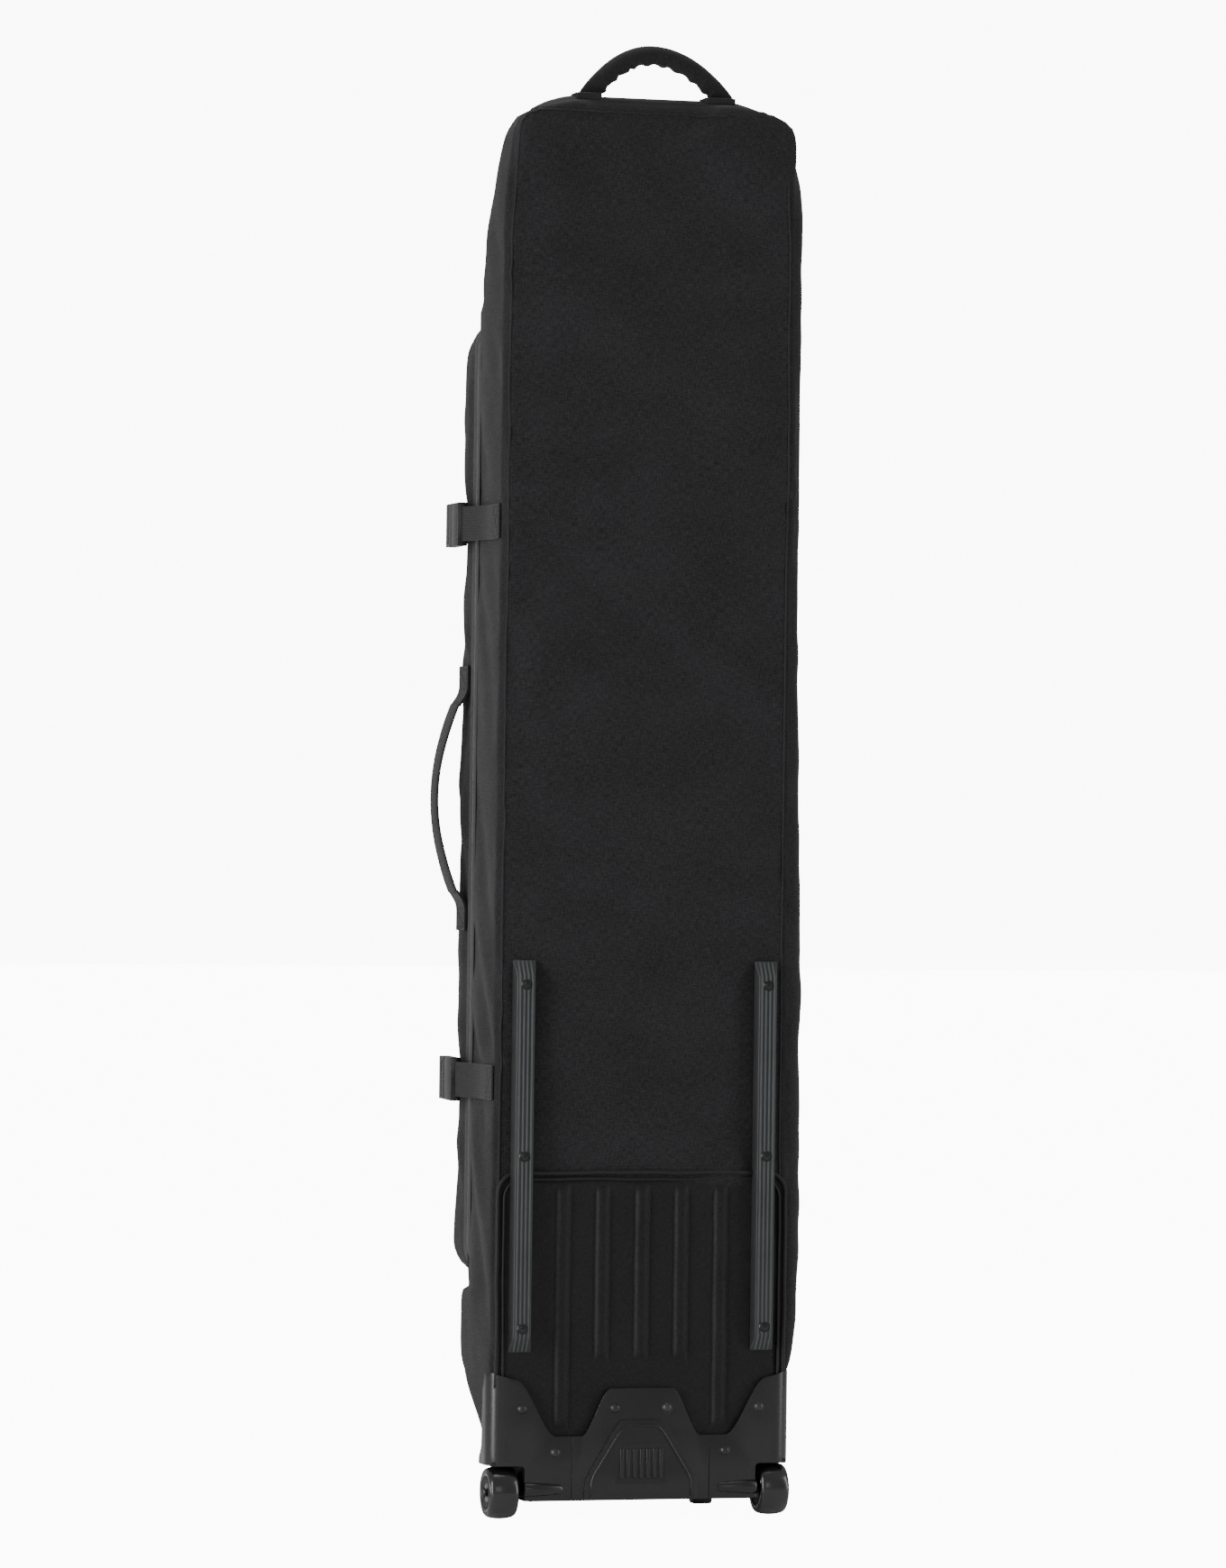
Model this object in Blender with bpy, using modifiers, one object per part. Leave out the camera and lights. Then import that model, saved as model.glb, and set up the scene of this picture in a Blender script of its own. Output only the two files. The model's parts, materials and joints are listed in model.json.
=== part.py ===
# Wheeled snowboard bag, standing on its wheels and two front feet, metres, +Z up.
# -Y is the back with the skid rails, +Y is the front with the zipped lid.
# Everything is built about the bag's own middle plane x = 0, and the empty "bag"
# then carries it so that the origin is under the middle of the whole bounding box.

import math
import bmesh
import bpy
from mathutils import Matrix, Vector

# ---------------------------------------------------------------- driving dimensions
GAP = 0.0003              # clearance between neighbouring solids
WALL = 0.004              # padded fabric wall
HALF_WIDTH = 0.1757       # tub and lid, outer face of the side walls
BACK_Y = -0.095           # outer face of the back panel
ZIP_Y = 0.0150            # plane in which lid and tub part
LID_FRONT_Y = 0.0925      # outer face of the lid
BODY_TOP = 1.626
BODY_BOTTOM = 0.075       # lower edge of the fabric walls
LID_BOTTOM = 0.262
LID_TOP = 1.382
LID_CORNER = 0.035
TOP_DEPTH = 0.036         # depth of the narrow top end
LOWER_FRONT_Y = 0.056     # front of the fixed panel below the lid
SHIFT_X = 0.01710         # carries the bounding box centre to x = 0
SHIFT_Y = 0.00850         # and to y = 0

BASE_Y = -0.104           # outer face of the moulded base
BASE_WALL = 0.005
BASE_HALF = 0.180
BASE_SPLIT = 0.082        # where the housings meet the centre plate
BASE_FLOOR = 0.021
BASE_FRONT_Y = 0.065
WAVE_LOW = 0.0945         # upper edge of the base between the humps
WAVE_HUMP = 0.149
WAVE_CORNER = 0.158
WAVE_END = 0.168

WHEEL_RADIUS = 0.030
WHEEL_WIDTH = 0.034
WHEEL_X = 0.161
WHEEL_Y = -0.082
AXLE_RADIUS = 0.004
WELL_CLEARANCE = 0.005
WELL_INNER = 0.1375       # inner wall of the wheel well

RAIL_X = 0.144
RAIL_WIDTH = 0.028
RAIL_TOP_WIDTH = 0.018
RAIL_HEIGHT = 0.011
RAIL_BOTTOM = 0.190
RAIL_LENGTH = 0.448
RAIL_RAMP = 0.020
RAIL_SCREW_INSET = 0.028

COVER_TOP = 0.394         # ribbed lower cover
RIB_PITCH = 0.0469
RIB_WIDTH = 0.013
RIB_HEIGHT = 0.003

STRAP_WIDTH = 0.040
STRAP_THICK = 0.0018
STRAP_LEVELS = {"upper": 1.137, "lower": 0.497}
BUCKLE_X = -0.190
BUCKLE_Y = 0.053          # where plug and socket meet
BUCKLE_THICK = 0.012
BUCKLE_HEIGHT = 0.050
BUCKLE_TILT = -4.0        # degrees about Z, along the arc on which the lid opens
SOCKET_LENGTH = 0.036
PLUG_LENGTH = 0.034
TONGUE_LENGTH = 0.023

HINGE_X = 0.1775          # fabric hinge of the lid, on the right side
HANDLE_Y = -0.075         # haul handle on the top end
HANDLE_HALF_SPAN = 0.077
HANDLE_AXIS_Z = 1.632
HANDLE_RISE = 0.038
HANDLE_RADIUS = 0.011

GRIP_Y = 0.050            # carry handle on the lid's left wall
GRIP_LOW, GRIP_HIGH = 0.712, 0.930
GRIP_OFFSET = 0.0135
GRIP_BOW = 0.0240
GRIP_THICK = 0.006

SLIDER_X = 0.014          # each zip slider's distance from the middle
SLIDER_LENGTH = 0.014
PULL_AXIS_Y = 0.0250
PULL_AXIS_Z = 1.3868
PULL_LENGTH = 0.034

FINISHES = {
    "ripstop": ((0.045, 0.045, 0.050), 0.85, 0.0),
    "cover": ((0.035, 0.035, 0.037), 0.60, 0.0),
    "moulding": ((0.030, 0.030, 0.030), 0.40, 0.0),
    "rail": ((0.075, 0.080, 0.080), 0.45, 0.0),
    "tyre": ((0.060, 0.060, 0.060), 0.30, 0.0),
    "core": ((0.030, 0.030, 0.030), 0.50, 0.0),
    "steel": ((0.450, 0.450, 0.460), 0.35, 1.0),
    "blackened": ((0.080, 0.080, 0.080), 0.35, 0.8),
    "webbing": ((0.060, 0.060, 0.062), 0.80, 0.0),
    "buckle": ((0.020, 0.020, 0.020), 0.25, 0.0),
    "zip": ((0.030, 0.030, 0.030), 0.45, 0.0),
    "board": ((0.120, 0.120, 0.125), 0.60, 0.0),
}

for old in list(bpy.data.objects):
    bpy.data.objects.remove(old, do_unlink=True)

parts = bpy.data.collections.new("snowboard_bag")
cutters = bpy.data.collections.new("cutters")
bpy.context.scene.collection.children.link(parts)
bpy.context.scene.collection.children.link(cutters)


# ---------------------------------------------------------------- helpers
def make_finish(name):
    colour, roughness, metallic = FINISHES[name]
    made = bpy.data.materials.new(name)
    made.use_nodes = True
    shader = made.node_tree.nodes["Principled BSDF"]
    shader.inputs["Base Color"].default_value = (*colour, 1.0)
    shader.inputs["Roughness"].default_value = roughness
    shader.inputs["Metallic"].default_value = metallic
    return made


finishes = {name: make_finish(name) for name in FINISHES}


def make_pivot(name, place, parent=None):
    empty = bpy.data.objects.new(name, None)
    empty.location = place
    parts.objects.link(empty)
    if parent is not None:
        empty.parent = parent
    return empty


bag = make_pivot("bag", (SHIFT_X, SHIFT_Y, 0.0))


def in_bag(empty):
    # place of an empty measured from the bag's own origin
    place = Vector((0.0, 0.0, 0.0))
    while empty is not bag:
        place += empty.location
        empty = empty.parent
    return place


def adopt(obj, pivot=bag):
    obj.parent = pivot
    obj.matrix_parent_inverse = Matrix.Translation(-in_bag(pivot))


def finish_part(obj, finish, pivot=bag, smooth=False):
    parts.objects.link(obj)
    adopt(obj, pivot)
    obj.data.materials.clear()
    obj.data.materials.append(finishes[finish])
    if smooth:
        obj.data.shade_smooth()
        obj.data.set_sharp_from_angle(angle=math.radians(35.0))
    return obj


def combine(target, tool, operation):
    cutters.objects.link(tool)
    adopt(tool)
    tool.hide_render = True
    tool.display_type = "WIRE"
    modifier = target.modifiers.new(operation.lower(), "BOOLEAN")
    modifier.operation = operation
    modifier.solver = "EXACT"
    modifier.object = tool
    return modifier


def soften(obj, width, segments=2):
    modifier = obj.modifiers.new("edges", "BEVEL")
    modifier.width = width
    modifier.segments = segments
    modifier.limit_method = "ANGLE"
    modifier.angle_limit = math.radians(40.0)


def block(name, low, high):
    size = [b - a for a, b in zip(low, high)]
    middle = [(a + b) / 2 for a, b in zip(low, high)]
    mesh = bpy.data.meshes.new(name)
    shape = bmesh.new()
    bmesh.ops.create_cube(shape, size=1.0)
    bmesh.ops.scale(shape, vec=size, verts=shape.verts)
    bmesh.ops.translate(shape, vec=middle, verts=shape.verts)
    shape.to_mesh(mesh)
    shape.free()
    return bpy.data.objects.new(name, mesh)


PLANES = {
    "XY": Matrix(((1, 0, 0), (0, 1, 0), (0, 0, 1))),
    "XZ": Matrix(((1, 0, 0), (0, 0, -1), (0, 1, 0))),
    "YZ": Matrix(((0, 0, 1), (1, 0, 0), (0, 1, 0))),
}
NORMALS = {"XY": Vector((0, 0, 1)), "XZ": Vector((0, 1, 0)), "YZ": Vector((1, 0, 0))}


def slab(name, outlines, plane, low, high):
    # flat outline in one of the main planes, from low to high along the third axis
    curve = bpy.data.curves.new(name + "_outline", "CURVE")
    curve.dimensions = "2D"
    curve.fill_mode = "BOTH"
    curve.extrude = (high - low) / 2
    for outline in outlines:
        spline = curve.splines.new("POLY")
        spline.points.add(len(outline) - 1)
        for point, (u, v) in zip(spline.points, outline):
            point.co = (u, v, 0.0, 1.0)
        spline.use_cyclic_u = True
    drawn = bpy.data.objects.new(name + "_outline", curve)
    bpy.context.scene.collection.objects.link(drawn)
    bpy.context.view_layer.update()
    seen = drawn.evaluated_get(bpy.context.evaluated_depsgraph_get())
    mesh = bpy.data.meshes.new_from_object(seen)
    bpy.data.objects.remove(drawn, do_unlink=True)
    shape = bmesh.new()
    shape.from_mesh(mesh)
    bmesh.ops.remove_doubles(shape, verts=shape.verts, dist=0.00001)
    bmesh.ops.recalc_face_normals(shape, faces=shape.faces)
    shape.to_mesh(mesh)
    shape.free()
    mesh.name = name
    obj = bpy.data.objects.new(name, mesh)
    turn = PLANES[plane].to_4x4()
    obj.matrix_local = Matrix.Translation(NORMALS[plane] * ((low + high) / 2)) @ turn
    return obj


def rounded(points, radii, steps=5, closed=True):
    # corners of a polyline replaced by short curves that start radius away from them
    result = []
    count = len(points)
    for index, corner in enumerate(points):
        radius = radii[index] if isinstance(radii, (list, tuple)) else radii
        if radius == 0 or (not closed and index in (0, count - 1)):
            result.append(tuple(corner))
            continue
        here = Vector(corner)
        before = (Vector(points[index - 1]) - here).normalized() * radius + here
        after = (Vector(points[(index + 1) % count]) - here).normalized() * radius + here
        for step in range(steps + 1):
            t = step / steps
            spot = before * (1 - t) ** 2 + here * 2 * t * (1 - t) + after * t ** 2
            result.append(tuple(spot))
    return result


def rectangle(left, low, right, high):
    return [(left, low), (right, low), (right, high), (left, high)]


def ribbon(path, thickness):
    # closed outline of a flat band that follows an open path
    points = [Vector(point) for point in path]
    sides = ([], [])
    for index, point in enumerate(points):
        before = points[max(index - 1, 0)]
        after = points[min(index + 1, len(points) - 1)]
        first = (point - before).normalized() if index else (after - point).normalized()
        second = (after - point).normalized() if index < len(points) - 1 else first
        along = (first + second).normalized()
        across = Vector((-along.y, along.x))
        reach = thickness / 2 / max(across.dot(Vector((-first.y, first.x))), 0.5)
        sides[0].append(tuple(point + across * reach))
        sides[1].append(tuple(point - across * reach))
    return sides[0] + sides[1][::-1]


def turned(name, profile, steps, place, side=1.0, ring=True):
    # (radius, distance along the axis) turned about an axis along X
    mesh = bpy.data.meshes.new(name)
    verts = [(radius, 0.0, along) for radius, along in profile]
    edges = [(i, i + 1) for i in range(len(verts) - 1)]
    if ring:
        edges.append((len(verts) - 1, 0))
    mesh.from_pydata(verts, edges, [])
    obj = bpy.data.objects.new(name, mesh)
    screw = obj.modifiers.new("turn", "SCREW")
    screw.steps = steps
    screw.render_steps = steps
    screw.use_merge_vertices = True
    screw.merge_threshold = 0.00001
    screw.use_smooth_shade = True
    obj.matrix_local = Matrix.Translation(place) @ Matrix.Rotation(side * math.pi / 2, 4, "Y")
    return obj


def turned_back(name, profile, steps, place):
    # the same with the axis along Y and the profile's top towards the back
    obj = turned(name, profile, steps, place, ring=False)
    obj.matrix_local = Matrix.Translation(place) @ Matrix.Rotation(math.pi / 2, 4, "X")
    return obj


def loft(name, rings):
    mesh = bpy.data.meshes.new(name)
    shape = bmesh.new()
    rows = [[shape.verts.new(point) for point in ring] for ring in rings]
    for one, two in zip(rows, rows[1:]):
        for i in range(len(one)):
            j = (i + 1) % len(one)
            shape.faces.new((one[i], one[j], two[j], two[i]))
    shape.faces.new(rows[0][::-1])
    shape.faces.new(rows[-1])
    bmesh.ops.recalc_face_normals(shape, faces=shape.faces)
    shape.to_mesh(mesh)
    shape.free()
    return bpy.data.objects.new(name, mesh)


def ease(value):
    value = min(max(value, 0.0), 1.0)
    return (1 - math.cos(math.pi * value)) / 2


# ---------------------------------------------------------------- fabric tub
def slope_y(height):
    # outer face of the sloping front above the lid
    start, end = LID_TOP + 0.002, BODY_TOP - WALL
    share = (height - start) / (end - start)
    return TUB_FRONT_Y + share * (BACK_Y + TOP_DEPTH - TUB_FRONT_Y)


TUB_FRONT_Y = ZIP_Y - 0.0033
GUSSET_BACK_Y = BACK_Y + WALL + GAP
GUSSET_TOP = BODY_TOP - WALL - GAP
LID_GAP = 0.0005


def build_back_panel():
    outline = rounded(
        rectangle(-HALF_WIDTH, BODY_BOTTOM + 0.015, HALF_WIDTH, BODY_TOP),
        [0.0, 0.0, 0.030, 0.030],
    )
    finish_part(slab("back_panel", [outline], "XZ", BACK_Y, BACK_Y + WALL), "ripstop")
    inner = BACK_Y + WALL + 0.0025
    sheet = rounded(rectangle(-0.165, 0.100, 0.165, 1.600), 0.020)
    finish_part(slab("back_board", [sheet], "XZ", inner, inner + 0.002), "board")
    for level, height in (("upper", 1.050), ("lower", 0.550)):
        face = inner + 0.003
        strap = block(
            "board_strap_" + level,
            (-0.160, face, height - 0.019),
            (0.160, face + 0.002, height + 0.019),
        )
        finish_part(strap, "webbing")


def build_gussets():
    profile = [
        (GUSSET_BACK_Y, BODY_BOTTOM),
        (GUSSET_BACK_Y, GUSSET_TOP),
        (slope_y(GUSSET_TOP), GUSSET_TOP),
        (TUB_FRONT_Y, LID_TOP + 0.002),
        (TUB_FRONT_Y, LID_BOTTOM - LID_GAP),
        (LOWER_FRONT_Y, LID_BOTTOM - LID_GAP),
        (LOWER_FRONT_Y, 0.190),
        (0.005, BODY_BOTTOM),
    ]
    for side, sign in (("left", -1.0), ("right", 1.0)):
        low, high = sorted((sign * HALF_WIDTH, sign * (HALF_WIDTH - WALL)))
        finish_part(slab("side_gusset_" + side, [profile], "YZ", low, high), "ripstop")
    top = block(
        "top_gusset",
        (-HALF_WIDTH + 0.006, GUSSET_BACK_Y, BODY_TOP - WALL),
        (HALF_WIDTH - 0.006, BACK_Y + TOP_DEPTH, BODY_TOP),
    )
    finish_part(top, "ripstop")


def build_fixed_fronts():
    inside = HALF_WIDTH - WALL - GAP
    low, high = LID_TOP + 0.002, GUSSET_TOP
    sloping = [
        (slope_y(low), low),
        (slope_y(high), high),
        (slope_y(high) - WALL, high),
        (slope_y(low) - WALL, low),
    ]
    finish_part(slab("front_panel_upper", [sloping], "YZ", -inside, inside), "ripstop")

    top = LID_BOTTOM - LID_GAP
    shield = [
        (-0.125, BASE_FLOOR + 0.0045),
        (0.125, BASE_FLOOR + 0.0045),
        (0.139, 0.070),
        (inside, 0.190),
        (inside, top),
        (-inside, top),
        (-inside, 0.190),
        (-0.139, 0.070),
    ]
    lower = slab("front_panel_lower", [shield], "XZ", LOWER_FRONT_Y - WALL, LOWER_FRONT_Y)
    ledge = block(
        "ledge", (-inside, TUB_FRONT_Y, top - WALL), (inside, LOWER_FRONT_Y - 0.001, top)
    )
    combine(lower, ledge, "UNION")
    finish_part(lower, "ripstop")


def build_cover():
    outer = BACK_Y - GAP
    outline = rounded(rectangle(-0.170, 0.090, 0.170, COVER_TOP), [0, 0, 0.022, 0.022])
    cover = slab("ribbed_cover", [outline], "XZ", outer - 0.003, outer)
    for number in range(-2, 3):
        middle = number * RIB_PITCH
        low = WAVE_LOW + 0.006 if abs(number) == 2 else WAVE_HUMP + 0.029
        bar = rounded(
            rectangle(middle - RIB_WIDTH / 2, low, middle + RIB_WIDTH / 2, COVER_TOP - 0.011),
            0.005,
            steps=3,
        )
        rib = slab(f"rib_{number + 2}", [bar], "XZ", outer - 0.003 - RIB_HEIGHT, outer - 0.001)
        combine(cover, rib, "UNION")
    finish_part(cover, "cover")


# ---------------------------------------------------------------- moulded base
def wave(x):
    # height of the base's upper edge at a distance from the middle
    x = abs(x)
    hump = WAVE_LOW + (WAVE_HUMP - WAVE_LOW) * (1 - ease((x - 0.036) / 0.028))
    corner = WAVE_LOW + (WAVE_CORNER - WAVE_LOW) * ease((x - 0.098) / 0.036)
    end = (WAVE_END - WAVE_CORNER) * min(max((x - 0.134) / (BASE_HALF - 0.134), 0.0), 1.0)
    return max(hump, corner) + end


def wave_edge(start, end, steps):
    span = [start + (end - start) * i / steps for i in range(steps + 1)]
    return [(x, wave(x)) for x in span]


def build_housing(side, sign):
    def flip(points):
        return [(sign * x, y) for x, y in points]

    inner, well_top = BASE_SPLIT + GAP / 2, WHEEL_RADIUS + WHEEL_RADIUS + WELL_CLEARANCE
    back = wave_edge(inner, BASE_HALF, 18)
    back += [(BASE_HALF, BASE_FLOOR), (inner, BASE_FLOOR)]
    housing = slab(
        "wheel_housing_" + side, [flip(back)], "XZ", BASE_Y, BASE_Y + BASE_WALL
    )
    floor = [
        (inner, BASE_Y + 0.001),
        (BASE_HALF - 0.001, BASE_Y + 0.001),
        (BASE_HALF - 0.001, -0.020),
        (0.145, BASE_FRONT_Y),
        (inner, BASE_FRONT_Y),
    ]
    plate = slab("floor_" + side, [flip(floor)], "XY", BASE_FLOOR, BASE_FLOOR + WALL)
    combine(housing, plate, "UNION")
    cheek = [
        (BASE_Y + 0.001, BASE_FLOOR + 0.001),
        (BASE_Y + 0.001, WAVE_END - 0.001),
        (-0.085, WAVE_END - 0.006),
        (-0.035, 0.095),
        (-0.021, BASE_FLOOR + 0.001),
    ]
    low, high = sorted((sign * BASE_HALF, sign * (HALF_WIDTH + GAP)))
    combine(housing, slab("cheek_" + side, [cheek], "YZ", low, high), "UNION")
    well_front = WHEEL_Y + WHEEL_RADIUS + WELL_CLEARANCE
    box_x = sorted((sign * (WELL_INNER - 0.003), sign * (BASE_HALF - 0.0005)))
    well = block(
        "well_" + side,
        (box_x[0], BASE_Y + 0.0005, BASE_FLOOR + 0.0005),
        (box_x[1], well_front + 0.003, well_top + 0.003),
    )
    combine(housing, well, "UNION")
    # tapered half-round cover over the axle's inner end
    boss = turned(
        "boss_" + side,
        [(0.0, 0.024), (0.0125, 0.024), (0.0095, -0.024), (0.0, -0.024)],
        20,
        (sign * (WELL_INNER - 0.0225), BASE_Y + 0.006, 0.0355),
        side=sign,
        ring=False,
    )
    combine(housing, boss, "UNION")
    foot_x = sorted((sign * 0.108, sign * 0.132))
    foot = block(
        "foot_" + side, (foot_x[0], 0.044, 0.0), (foot_x[1], 0.063, BASE_FLOOR + 0.002)
    )
    combine(housing, foot, "UNION")
    hollow_x = sorted((sign * WELL_INNER, sign * (BASE_HALF + 0.010)))
    hollow = block(
        "hollow_" + side,
        (hollow_x[0], BASE_Y - 0.020, BASE_FLOOR - 0.010),
        (hollow_x[1], well_front, well_top),
    )
    combine(housing, hollow, "DIFFERENCE")
    bore = turned(
        "bore_" + side,
        [
            (0.0, 0.060),
            (AXLE_RADIUS + GAP, 0.060),
            (AXLE_RADIUS + GAP, -0.0203),
            (0.0, -0.0203),
        ],
        20,
        (sign * WELL_INNER, WHEEL_Y, WHEEL_RADIUS),
        side=sign,
        ring=False,
    )
    combine(housing, bore, "DIFFERENCE")
    finish_part(housing, "moulding")


def build_base_centre():
    edge = BASE_SPLIT - GAP / 2
    outline = wave_edge(-edge, edge, 24) + [(edge, BASE_FLOOR), (-edge, BASE_FLOOR)]
    plate = slab("base_centre_plate", [outline], "XZ", BASE_Y, BASE_Y + BASE_WALL)
    floor = block(
        "centre_floor",
        (-edge, BASE_Y + 0.001, BASE_FLOOR),
        (edge, BASE_FRONT_Y, BASE_FLOOR + WALL),
    )
    combine(plate, floor, "UNION")
    finish_part(plate, "moulding")

    # raised bumper that flares towards the floor
    top, knee, low = 0.113, 0.046, BASE_FLOOR
    narrow, wide = 0.0256, 0.0680
    flank = []
    for step in range(9):
        share = step / 8
        height = top + (knee - top) * share
        flank.append((narrow + (wide - narrow) * share ** 1.6, height))
    flank.append((wide + 0.001, low))
    outline = [(-x, z) for x, z in flank[::-1]] + flank
    face = BASE_Y - GAP
    bumper = slab("base_bumper", [outline], "XZ", face - 0.006, face)
    finish_part(bumper, "moulding")


def build_rivets():
    spots = [(x, z) for x, z in ((0.031, 0.126), (0.101, 0.076), (0.141, 0.126))]
    number = 1
    for x, z in spots:
        for sign in (-1.0, 1.0):
            dome = [(0.0, 0.0024)]
            for step in range(1, 5):
                angle = step * math.pi / 8
                dome.append((0.0048 * math.sin(angle), 0.0004 + 0.0020 * math.cos(angle)))
            dome += [(0.0048, 0.0), (0.0, 0.0)]
            place = (sign * x, BASE_Y - GAP, z)
            rivet = turned_back(f"rivet_{number}", dome, 16, place)
            finish_part(rivet, "blackened")
            number += 1


# ---------------------------------------------------------------- skid rails
def build_rails():
    face = BACK_Y - GAP - 0.003 - GAP
    crown = face - RAIL_HEIGHT
    top = RAIL_BOTTOM + RAIL_LENGTH
    number = 1
    for side, sign in (("left", -1.0), ("right", 1.0)):
        x = sign * RAIL_X
        rail = block(
            "skid_rail_" + side,
            (x - RAIL_WIDTH / 2, crown, RAIL_BOTTOM),
            (x + RAIL_WIDTH / 2, face, top),
        )
        inset = (RAIL_WIDTH - RAIL_TOP_WIDTH) / 2
        for vert in rail.data.vertices:
            if vert.co.y < crown + 0.001:
                vert.co.x += inset if vert.co.x < x else -inset
                vert.co.z += RAIL_RAMP if vert.co.z < 0.4 else -RAIL_RAMP
        for groove in (-1, 0, 1):
            middle = x + groove * 0.0048
            channel = block(
                f"groove_{side}_{groove + 1}",
                (middle - 0.0008, crown - 0.002, RAIL_BOTTOM + 0.026),
                (middle + 0.0008, crown + 0.0012, top - 0.026),
            )
            combine(rail, channel, "DIFFERENCE")
        for share in (0.0, 0.5, 1.0):
            z = RAIL_BOTTOM + RAIL_SCREW_INSET + share * (RAIL_LENGTH - 2 * RAIL_SCREW_INSET)
            seat = [
                (0.0, 0.020),
                (0.0055, 0.020),
                (0.0055, 0.007),
                (0.0023, 0.007),
                (0.0023, -0.004),
                (0.0, -0.004),
            ]
            combine(rail, turned_back(f"seat_{number}", seat, 20, (x, face, z)), "DIFFERENCE")
            screw = [
                (0.0, 0.0098),
                (0.0030, 0.0096),
                (0.0042, 0.0086),
                (0.0042, 0.0073),
                (0.0020, 0.0073),
                (0.0020, 0.0003),
                (0.0, 0.0003),
            ]
            fixing = turned_back(f"rail_screw_{number}", screw, 16, (x, face, z))
            finish_part(fixing, "blackened")
            number += 1
        finish_part(rail, "rail")


# ---------------------------------------------------------------- wheels
def build_wheels():
    half = WHEEL_WIDTH / 2
    for side, sign in (("left", -1.0), ("right", 1.0)):
        centre = (sign * WHEEL_X, WHEEL_Y, WHEEL_RADIUS)
        pivot = make_pivot("wheel_pivot_" + side, centre, bag)
        tread = []
        for step in range(7):
            angle = math.radians(90.0 - 30.0 * step)
            tread.append((0.0215 + 0.0085 * math.cos(angle), half * math.sin(angle)))
        tread += [(0.0185, -half), (0.0185, half)]
        tyre = turned("tyre_" + side, tread, 32, centre, side=sign)
        finish_part(tyre, "tyre", pivot)
        core = [
            (0.0182, 0.0155),
            (0.0182, -0.0155),
            (0.0113, -0.0155),
            (0.0113, -0.0085),
            (0.0090, -0.0080),
            (0.0090, 0.0080),
            (0.0113, 0.0085),
            (0.0113, 0.0155),
        ]
        finish_part(turned("wheel_core_" + side, core, 32, centre, side=sign), "core", pivot)
        for end, along in (("outer", 0.012), ("inner", -0.012)):
            ring = [
                (0.0110, along + 0.0033),
                (0.0110, along - 0.0033),
                (AXLE_RADIUS + GAP, along - 0.0033),
                (AXLE_RADIUS + GAP, along + 0.0033),
            ]
            bearing = turned(f"bearing_{side}_{end}", ring, 24, centre, side=sign)
            finish_part(bearing, "steel", pivot)
        pin = [
            (0.0, 0.0210),
            (0.0045, 0.0207),
            (0.0065, 0.0190),
            (0.0065, 0.0173),
            (AXLE_RADIUS, 0.0173),
            (AXLE_RADIUS, -0.0435),
            (0.0, -0.0435),
        ]
        axle = turned("axle_" + side, pin, 20, centre, side=sign, ring=False)
        finish_part(axle, "blackened")


# ---------------------------------------------------------------- lid
def build_lid(pivot):
    def face(inset):
        corners = rectangle(
            -HALF_WIDTH + inset, LID_BOTTOM + inset, HALF_WIDTH - inset, LID_TOP - inset
        )
        return rounded(corners, LID_CORNER - inset)

    front = LID_FRONT_Y - WALL - GAP
    band = slab("lid_band", [face(0.0), face(WALL)], "XZ", ZIP_Y + 0.003, front)
    finish_part(band, "ripstop", pivot)
    finish_part(
        slab("lid_panel", [face(0.0)], "XZ", LID_FRONT_Y - WALL, LID_FRONT_Y), "ripstop", pivot
    )

    # the zip runs along the top, the left side and the bottom
    inset = 0.003
    run = rounded(
        [
            (0.165, LID_TOP - inset),
            (-HALF_WIDTH + inset, LID_TOP - inset),
            (-HALF_WIDTH + inset, LID_BOTTOM + inset),
            (0.165, LID_BOTTOM + inset),
        ],
        LID_CORNER - inset,
        closed=False,
    )
    chain = ribbon(run, 2 * inset)
    half_chain = 0.0027
    tub_side = slab("zip_chain_tub", [chain], "XZ", ZIP_Y - GAP - half_chain, ZIP_Y - GAP)
    finish_part(tub_side, "zip")
    lid_side = slab("zip_chain_lid", [chain], "XZ", ZIP_Y, ZIP_Y + half_chain)
    finish_part(lid_side, "zip", pivot)


def build_sliders():
    low = LID_TOP + GAP
    for side, sign in (("left", -1.0), ("right", 1.0)):
        x = sign * SLIDER_X
        pivot = make_pivot("slider_pivot_" + side, (x, ZIP_Y, low), bag)
        slider = block(
            "zip_slider_" + side,
            (x - SLIDER_LENGTH / 2, ZIP_Y - 0.003, low),
            (x + SLIDER_LENGTH / 2, ZIP_Y + 0.0075, low + 0.0065),
        )
        soften(slider, 0.0015)
        finish_part(slider, "blackened", pivot)

        swing = make_pivot(
            "pull_pivot_" + side,
            Vector((x, PULL_AXIS_Y, PULL_AXIS_Z)) - in_bag(pivot),
            pivot,
        )
        tab = rounded(
            rectangle(x - 0.0045, PULL_AXIS_Y - 0.0012, x + 0.0045, PULL_AXIS_Y + PULL_LENGTH),
            [0.0010, 0.0010, 0.0030, 0.0030],
            steps=3,
        )
        hole = rounded(
            rectangle(x - 0.0020, PULL_AXIS_Y + 0.026, x + 0.0020, PULL_AXIS_Y + 0.030),
            0.0015,
            steps=2,
        )
        thick = 0.0024
        pull = slab(
            "zip_pull_" + side,
            [tab, hole],
            "XY",
            PULL_AXIS_Z - thick / 2,
            PULL_AXIS_Z + thick / 2,
        )
        finish_part(pull, "zip", swing)


# ---------------------------------------------------------------- compression straps
def buckle_frame(height):
    place = Matrix.Translation((BUCKLE_X, BUCKLE_Y, height))
    return place @ Matrix.Rotation(math.radians(BUCKLE_TILT), 4, "Z")


def buckle_block(name, low, high, height):
    obj = block(name, low, high)
    obj.matrix_local = buckle_frame(height)
    return obj


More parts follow.
